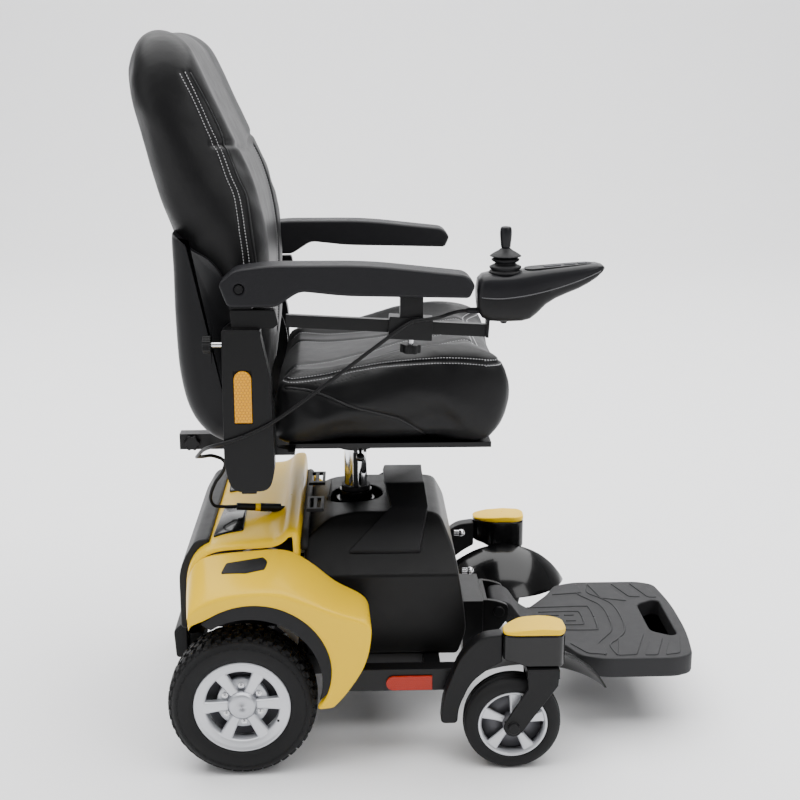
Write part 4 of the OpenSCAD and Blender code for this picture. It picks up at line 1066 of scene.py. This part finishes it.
def stitches(name, lines, body, pitch=0.0044, thick=0.00062):
    """Short threads that dip at both ends, laid along (point, normal) lines."""
    parts = []
    for line in lines:
        beads = even(line, pitch)
        for (p, n), (q, m) in zip(beads, beads[1:]):
            along = (q - p) * 0.66
            side = along.cross(n).normalized()
            rings = []
            for t, r, lift in THREAD_SHAPE:
                spot = p + along * t + n.lerp(m, t) * thick * lift
                rings.append([spot + (side * math.cos(a) + n * math.sin(a)) * thick * r
                              for a in (k * math.tau / 6 for k in range(6))])
            parts.append(skin(rings))
    made = mesh_object(name, *gathered(parts))
    made.data.materials.append(thread.material)
    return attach(made, body)


# By default the piping takes the lighter black, whose colour is a painted highlight.
def welt(name, lines, body, radius=0.0016, finish=welt_leather_painted_highlight):
    """A thin round piping along each line, half sunk in the cover."""
    parts = []
    for line in lines:
        spots = even(line, 0.004)
        rings = []
        for i, (p, n) in enumerate(spots):
            along = (spots[min(i + 1, len(spots) - 1)][0] - spots[max(i - 1, 0)][0]).normalized()
            side = along.cross(n).normalized()
            rings.append([p + n * radius * 0.25 + (side * math.cos(a) + n * math.sin(a)) * radius
                          for a in (k * math.tau / 8 for k in range(8))])
        parts.append(skin(rings))
    made = mesh_object(name, *gathered(parts))
    made.data.materials.append(finish.material)
    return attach(made, body)


def ease(low, high, v):
    t = min(1.0, max(0.0, (v - low) / (high - low)))
    return t * t * (3 - 2 * t)


def both(line_of):
    """Makes a line on the right side and its mirror image on the left."""
    return [line_of(1), line_of(-1)]


print("cushion helpers ready")

# %% [markdown]
# The seat cushion is deep and its front edge rolls over, with a raised bolster along each
# side and at the front, and a shallow dish between them.

# %% Seat cushion
SEAT_OUTLINE = [(-124, 510), (-130, 560), (-126, 604), (-104, 618), (-45, 621), (24, 638), (73, 651),
                (138, 660), (188, 659), (222, 647), (238, 616), (240, 580), (230, 540), (212, 515),
                (196, 508), (100, 508), (0, 508)]


def seat_form(x, y, z):
    inside = 1 - ease(110, 205, abs(y))
    dish = (16 + 8 * ease(-60, 60, x) - 14 * ease(130, 225, x)) * inside * ease(585, 615, z)
    return x, y, z - dish


seat = pillow("seat_upholstery", SEAT_OUTLINE, 226, 26, 7, seat_form)
voxels(seat, 0.005)
inflate(seat, 0.010)
smooth_once(seat, 12)
subdivide(seat)
pan_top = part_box("seat_cushion")[0].z
for v in seat.data.vertices:
    v.co.z = max(v.co.z, pan_top)
seat.data.update()
print("seat cushion has", len(seat.data.vertices), "points")

# %% Seat seams
seat_tree = surface_of(seat)


def on_side(sign, guide):
    guides = [at(x, -300 * sign, z) for x, z in guide]
    return lay_on(seat_tree, guides, Vector((0, sign, 0)))


def on_top(sign, guide):
    guides = [at(x, y * sign, 760) for x, y in guide]
    return lay_on(seat_tree, guides, Vector((0, 0, -1)))


EDGE_SEAM = [(-104, 607), (-85, 607), (-42, 611), (7, 622), (57, 632), (106, 637), (155, 638),
             (204, 634), (232, 632)]
SIDE_WELT = [(-104, 598), (-88, 597), (-62, 592), (-10, 573), (56, 553), (76, 543), (98, 526),
             (108, 513)]
edge_seams = both(lambda s: on_side(s, EDGE_SEAM))
side_welts = both(lambda s: on_side(s, SIDE_WELT))
front_seam = lay_on(seat_tree, [at(400, y, 633 + 5 * math.cos(y / 144)) for y in range(-214, 215, 20)],
                    Vector((-1, 0, 0)), 4)
channels = []
for guide in ([(-106, -98), (-40, -76), (50, -42), (112, -26), (176, -20)],
              [(-106, -152), (-40, -134), (60, -104), (120, -92), (184, -86)]):
    channels += both(lambda s, g=guide: on_top(s, g))
groove(seat, edge_seams + [front_seam], 0.0022, 0.0035)
groove(seat, channels, 0.0035, 0.0055)
groove(seat, side_welts, 0.0020, 0.0040)
seat_tree = surface_of(seat)
print("seat seams:", len(edge_seams + side_welts + channels) + 1)


# %% Seat stitching
def relaid(tree, line, lift=0.0):
    """Drops a finished line back onto the grooved cover."""
    out = []
    for p, n in line:
        hit, normal, _, d = tree.find_nearest(p)
        if hit is not None and d < 0.02:
            out.append((hit + normal * lift, normal))
    return out


seat_threads = []
for line in edge_seams + [front_seam]:
    for side in (-0.0042, 0.0042):
        seat_threads.append(relaid(seat_tree, shifted(line, side)))
for line in channels:
    seat_threads.append(relaid(seat_tree, shifted(line, 0.0045)))
stitches("seat_stitching", seat_threads, "seat")
welt("seat_piping", [relaid(seat_tree, line) for line in side_welts], "seat")
seat.data.materials.append(seat_leather.material)
seat.data.polygons.foreach_set("use_smooth", [True] * len(seat.data.polygons))
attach(seat, "seat")
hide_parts("seat_cushion")
print("seat stitched along", len(seat_threads), "lines")

# %% [markdown]
# The backrest leans back, thick at its foot and rounded at the top. Towards each side its
# outline is pulled down, which gives the domed top corners.

# %% Back cushion
BACK_OUTLINE = [(-132, 590), (-124, 640), (-122, 700), (-122, 770), (-127, 835), (-143, 903), (-170, 963),
                (-196, 1020), (-219, 1072), (-234, 1105), (-252, 1119), (-276, 1124), (-300, 1118),
                (-319, 1100), (-327, 1070), (-321, 1032), (-304, 960), (-284, 884), (-262, 820),
                (-250, 770), (-246, 700), (-244, 640), (-238, 580), (-218, 545), (-190, 526), (-152, 526),
                (-138, 548)]
BACK_FOOT, BACK_TOP, LEAN = 690.0, 1124.0, -0.27


def back_form(x, y, z):
    reach = max(0.0, (abs(y) - 106) / 121)
    top = 915 + (BACK_TOP - 915) * max(0.0, 1 - reach ** 2.8) ** (1 / 2.8)
    if z > BACK_FOOT:
        lower = BACK_FOOT + (z - BACK_FOOT) * (top - BACK_FOOT) / (BACK_TOP - BACK_FOOT)
        x, z = x + LEAN * (lower - z), lower
    front = ease(-300, -150, x - LEAN * (z - BACK_FOOT))
    return x - 10 * front * (1 - ease(90, 190, abs(y))) * ease(560, 640, z), y, z


back = pillow("back_upholstery", BACK_OUTLINE, 226, 30, 7, back_form)
voxels(back, 0.005)
inflate(back, 0.007)
smooth_once(back, 30)
subdivide(back)
rear_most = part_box("back_cushion")[0].x
for v in back.data.vertices:
    v.co.x = max(v.co.x, rear_most)
back.data.update()
print("back cushion has", len(back.data.vertices), "points")

# %% Back seams
back_tree = surface_of(back)


def on_back_side(sign, guide):
    return lay_on(back_tree, [at(x, -300 * sign, z) for x, z in guide], Vector((0, sign, 0)))


def on_back_front(guide):
    return lay_on(back_tree, [at(200, y, z) for y, z in guide], Vector((-1, 0, 0)))


SIDE_SEAM = [(-238, 1052), (-222, 1019), (-203, 973), (-190, 945), (-177, 907), (-166, 878), (-159, 826),
             (-155, 790), (-152, 740), (-151, 690), (-150, 640), (-152, 600)]
FRONT_WELT = [(-228, 1052), (-211, 1019), (-191, 975), (-179, 942), (-165, 905), (-153, 876), (-146, 826),
              (-142, 790), (-139, 740), (-138, 690), (-139, 640), (-142, 600)]
back_seams = both(lambda s: on_back_side(s, SIDE_SEAM))
back_welts = both(lambda s: on_back_side(s, FRONT_WELT))
cross_seam = on_back_front([(y, 944 - 10 * math.cos(y / 72)) for y in range(-205, 206, 20)])
panel_seams = both(lambda s: on_back_front([(-118 * s, 930), (-126 * s, 880), (-132 * s, 800),
                                            (-134 * s, 700), (-130 * s, 620)]))
groove(back, back_seams, 0.0018, 0.0035)
groove(back, back_welts, 0.0014, 0.0030)
groove(back, [cross_seam] + panel_seams, 0.0034, 0.0050)
back_tree = surface_of(back)
back_threads = []
for line in back_seams:
    for side in (-0.0040, 0.0040):
        back_threads.append(relaid(back_tree, shifted(line, side)))
for line in panel_seams:
    back_threads.append(relaid(back_tree, shifted(line, 0.0045)))
stitches("back_stitching", back_threads, "back")
welt("back_piping", [relaid(back_tree, line) for line in back_welts], "back")
back.data.materials.append(back_leather.material)
back.data.polygons.foreach_set("use_smooth", [True] * len(back.data.polygons))
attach(back, "back")
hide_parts("back_cushion")
print("back stitched along", len(back_threads), "lines")

# %% [markdown]
# A plastic shell closes the lower back and wraps its sides. It is a second, slightly wider
# pillow around the cushion; its front edge stays straight where the cushion's would round.

# %% Back shell
SHELL_OUTLINE = [(-262, 826), (-250, 822), (-234, 806), (-209, 791), (-190, 766), (-178, 720),
                 (-172, 640), (-160, 560), (-150, 520), (-178, 511), (-216, 526), (-244, 562),
                 (-258, 620), (-262, 700), (-262, 770)]


shell = pillow("back_shell_panel", SHELL_OUTLINE, 226.5, 27, 0, only_rear=True)
shell.data.materials.append(shell_black.material)
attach(shell, "back")
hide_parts("back_shell")
for y in (-100, 100):
    for z in (604, 678):
        knob = tube("shell_screw_cap", [at(x, y, z) for x in (-258, -264, -266, -267)], 0.009, 20,
                    lambda t: 1 if t < 0.9 else 0.75)
        knob.data.materials.append(trim_black.material)
        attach(knob, "back")
print("back shell has", len(shell.data.polygons), "faces")

# %% [markdown]
# ## Controller
# The joystick's case is a smooth two-part shell, deep under the stick and slim at its tip. It
# is lofted forwards: at each station there is a bottom, a top and a half width, and the ring
# between them is a rounded oblong. The faces above the parting line get a lighter finish, and
# a thin bead runs along that line.

# %% Controller shell
POD_Y = -260
STATIONS = [  # ahead of the post, bottom, top, half width, all in millimetres
    (174, 738, 757, 17), (176, 722, 769, 22.5), (182, 713, 775, 26.5), (192, 708.5, 777.2, 29),
    (206, 707.5, 777.6, 30), (222, 707.5, 778.4, 30), (238, 708, 780.6, 29.8), (250, 711, 782.4, 29.2),
    (260, 719, 783.4, 28.4), (272, 731.5, 784.6, 27.4), (286, 740.5, 785.8, 26.2), (302, 747.5, 787.2, 24.8),
    (318, 754, 788.6, 23.4), (332, 761.5, 789.8, 21.6), (344, 769.5, 790, 19), (352, 777, 788, 14.5),
    (355.5, 781.5, 785, 8)]


def pod_ring(x, low, high, half, sides=40, square=3.6):
    mid, tall = (low + high) / 2, (high - low) / 2
    ring = []
    for k in range(sides):
        a = math.tau * k / sides
        c, s = math.cos(a), math.sin(a)
        y = half * math.copysign(abs(c) ** (2 / square), c)
        z = tall * math.copysign(abs(s) ** (2 / square), s)
        ring.append(at(x, POD_Y + y * (1 - 0.10 * (s < 0) * abs(s)), mid + z))
    return ring


def parting(x):
    """Height of the line where the two half shells meet."""
    ahead, behind = max(0.0, x - 205), max(0.0, 205 - x)
    return 743.5 + 0.0013 * ahead ** 2 + 0.07 * ahead + 0.04 * behind


fine = []
for a, b in zip(STATIONS, STATIONS[1:]):
    fine += [tuple(p + (q - p) * t / 3 for p, q in zip(a, b)) for t in range(3)]
fine.append(STATIONS[-1])
pod = mesh_object("controller_shell", *skin([pod_ring(*s) for s in fine]))
pod.data.materials.append(pod_black.material)
pod.data.materials.append(pod_lower.material)
for face in pod.data.polygons:
    c = face.center
    if c.z / MM < parting((c.x - POST_X) / MM):
        face.material_index = 1
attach(pod, "controller")
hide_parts("controller_case")
pod_tree = surface_of(pod)
print("controller shell has", len(pod.data.polygons), "faces")


# %% Controller details
def bead(sign):
    guides = [at(x, POD_Y + 60 * sign, parting(x)) for x in range(180, 351, 10)]
    return lay_on(pod_tree, guides, Vector((0, -sign, 0)), 3)


welt("controller_seam", [bead(-1), bead(1)], "controller", 0.0007, pod_seam)
STICK_X, STICK_Z, BOOT_Z = 215, 764, 776
plate_line = [Vector((x, y, 0)) for x, y in (
    (246, -13), (262, -16), (300, -14.5), (330, -11), (338, 0), (330, 11), (300, 14.5), (262, 16),
    (246, 13), (242, 0))]
rim_of_plate = curve_through(plate_line, 5, closed=True)
TOP_SLOPE = 0.082  # the case's top rises this much per millimetre forwards
lid = [[at(p.x, POD_Y + p.y, 778 + (p.x - 190) * TOP_SLOPE + h) for p in rim_of_plate]
       for h in (-1.2, 0.5)]
plate = soften(mesh_object("controller_keypad", *skin(lid), smooth=False), 0.0005)
plate.data.materials.append(panel_grey.material)
foot_screw = turned("controller_foot", [(0.0001, 0), (0.0034, 0.0004), (0.005, 0.002),
                                        (0.005, 0.0065), (0.0001, 0.0065)], Vector(), 24)
foot_screw.rotation_euler = (math.radians(90), 0, 0)
foot_screw.location = at(214, POD_Y, 702.8)
foot_screw.data.materials.append(trim_black.material)
gland = tube("controller_gland", [at(x, POD_Y, 722) for x in (160, 163, 168, 176, 186)], 0.0044, 14,
             lambda t: 0.72 + 0.28 * min(1, t * 3))
gland.data.materials.append(trim_black.material)
for piece in (plate, foot_screw, gland):
    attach(piece, "controller")
print("controller details on")

# %% [markdown]
# The bellows under the knob are a turned rubber sleeve with two folds. The wide hood above them
# is part of the knob, and leans with it in every direction.


# %% Joystick
def upright(name, profile, x, z, finish, turns=48):
    """Turns (radius, height) pairs, in millimetres, about a vertical axis."""
    rings = [[at(x + r * math.cos(a), POD_Y + r * math.sin(a), z + h)
              for a in (k * math.tau / turns for k in range(turns))] for r, h in profile]
    made = mesh_object(name, *skin(rings))
    made.data.materials.append(finish.material)
    return made


FOLDS = [(23.5, 0.0), (24, 1.5), (22.4, 3.6), (19.6, 4.4), (21.8, 6.2), (22.9, 8.2), (22.4, 9.8), (17.5, 12.2),
         (14.4, 14.0), (15.0, 15.2), (18.6, 17.0), (20.0, 18.8), (19.4, 20.4), (15.6, 22.4), (13.4, 24.0),
         (12.6, 27.0), (8.0, 29.5), (4.2, 30.5)]
HOOD = [(6.6, 36.0), (7.6, 34.4), (10.6, 32.2), (15.0, 29.8), (19.4, 27.2), (22.4, 24.9), (22.7, 24.0), (21.6, 23.6),
        (17.0, 25.6), (11.0, 28.6), (5.0, 30.0)]
KNOB = [(4.0, 34.5), (6.7, 36.0), (7.1, 38.5), (7.4, 42), (8.0, 47), (8.5, 53), (8.6, 58), (8.3, 62), (7.5, 64.6),
        (6.0, 65.8), (3.5, 66.1), (2.6, 65.7), (0.2, 65.6)]
bellows = upright("joystick_bellows", FOLDS, STICK_X, BOOT_Z, soft_rubber)
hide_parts("joystick_boot")
at(STICK_X, POD_Y, BOOT_Z + 2)
at(STICK_X, POD_Y, BOOT_Z + 28)
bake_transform(bellows)
hood = upright("joystick_hood", HOOD, STICK_X, BOOT_Z, soft_rubber)
knob = upright("joystick_knob", KNOB, STICK_X, BOOT_Z, pod_black)
stem = upright("joystick_stem", [(3, -18), (3, 36)], STICK_X, BOOT_Z, bright_steel, 20)
for piece in (hood, knob, stem):
    piece.modifiers.new("finer", "SUBSURF").levels = 1
    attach(piece, "joystick")
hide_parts("joystick")
print("joystick knob top at", round((BOOT_Z + 66.1) * MM, 4), "m")

# %% [markdown]
# ## Footplate
# The footplate's top is moulded with raised pads and lines that keep a shoe from slipping.
# The pads are thin slabs with rounded corners, and the lines are low half-round beads.


# %% Footplate tread
FOOT_TOP = 130


def raised(outlines, height=1.3):
    """Low slabs on the footplate, from (x, y) outlines in millimetres."""
    parts = []
    for outline in outlines:
        ring = curve_through(rounded(outline), 1, closed=True)
        centre = sum(ring, Vector()) / len(ring)
        rings = []
        for grow, h in ((1.0, -0.6), (1.0, height * 0.6), (0.96, height)):
            rings.append([at(centre.x + (p.x - centre.x) * grow,
                             centre.y + (p.y - centre.y) * grow, FOOT_TOP + h) for p in ring])
        parts.append(skin(rings))
    return gathered(parts)


def mirrored(shapes):
    return shapes + [[(x, -y) for x, y in reversed(shape)] for shape in shapes]


PADS = mirrored([
    [(438, -84), (484, -70), (456, -150), (424, -152)], [(490, -90), (512, -88), (490, -152), (468, -152)],
    [(524, -86), (541, -84), (528, -146), (502, -152)], [(352, -102), (408, -110), (408, -148), (376, -142)]])
pads = soften(mesh_object("footplate_pads", *raised(PADS), smooth=False), 0.0004)
LINES = mirrored([[(424, -150), (419, -112), (436, -88), (452, -62), (458, -30), (459, 0)],
                  [(404, -150), (398, -112), (416, -80), (430, -58), (436, -30), (437, 0)],
                  [(300, -46), (340, -48), (378, -50), (404, -50), (410, -44), (412, 0)],
                  [(318, -26), (350, -28), (384, -28), (390, -22), (391, 0)],
                  [(330, -12), (352, -12)], [(361, -12), (378, -12)]])
ribs = []
for line in LINES:
    path = curve_through([at(x, y, FOOT_TOP + 0.1) for x, y in line], 6)
    rings = []
    for i, p in enumerate(path):
        along = (path[min(i + 1, len(path) - 1)] - path[max(i - 1, 0)]).normalized()
        side = along.cross(Vector((0, 0, 1)))
        rings.append([p + side * 1.7 * MM * c + Vector((0, 0, h * MM))
                      for c, h in ((1, -0.4), (0.8, 0.6), (0.3, 1.1), (-0.3, 1.1), (-0.8, 0.6), (-1, -0.4))])
    ribs.append(skin(rings))
lines = mesh_object("footplate_lines", *gathered(ribs))
for piece in (pads, lines):
    piece.data.materials.append(foot_plastic.material)
    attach(piece, "footplate")
print("footplate has", len(PADS), "pads and", len(LINES), "lines")

# %% [markdown]
# The floor's finish comes last: a pale, slightly uneven matte, so that the shadow under the
# chair is soft.

# %% Floor finish and the end
floor_white = moulded("pale_floor", (0.86, 0.86, 0.87), 0.75, 300, 0.00001, 0.01)
floor.data.materials.append(floor_white.material)
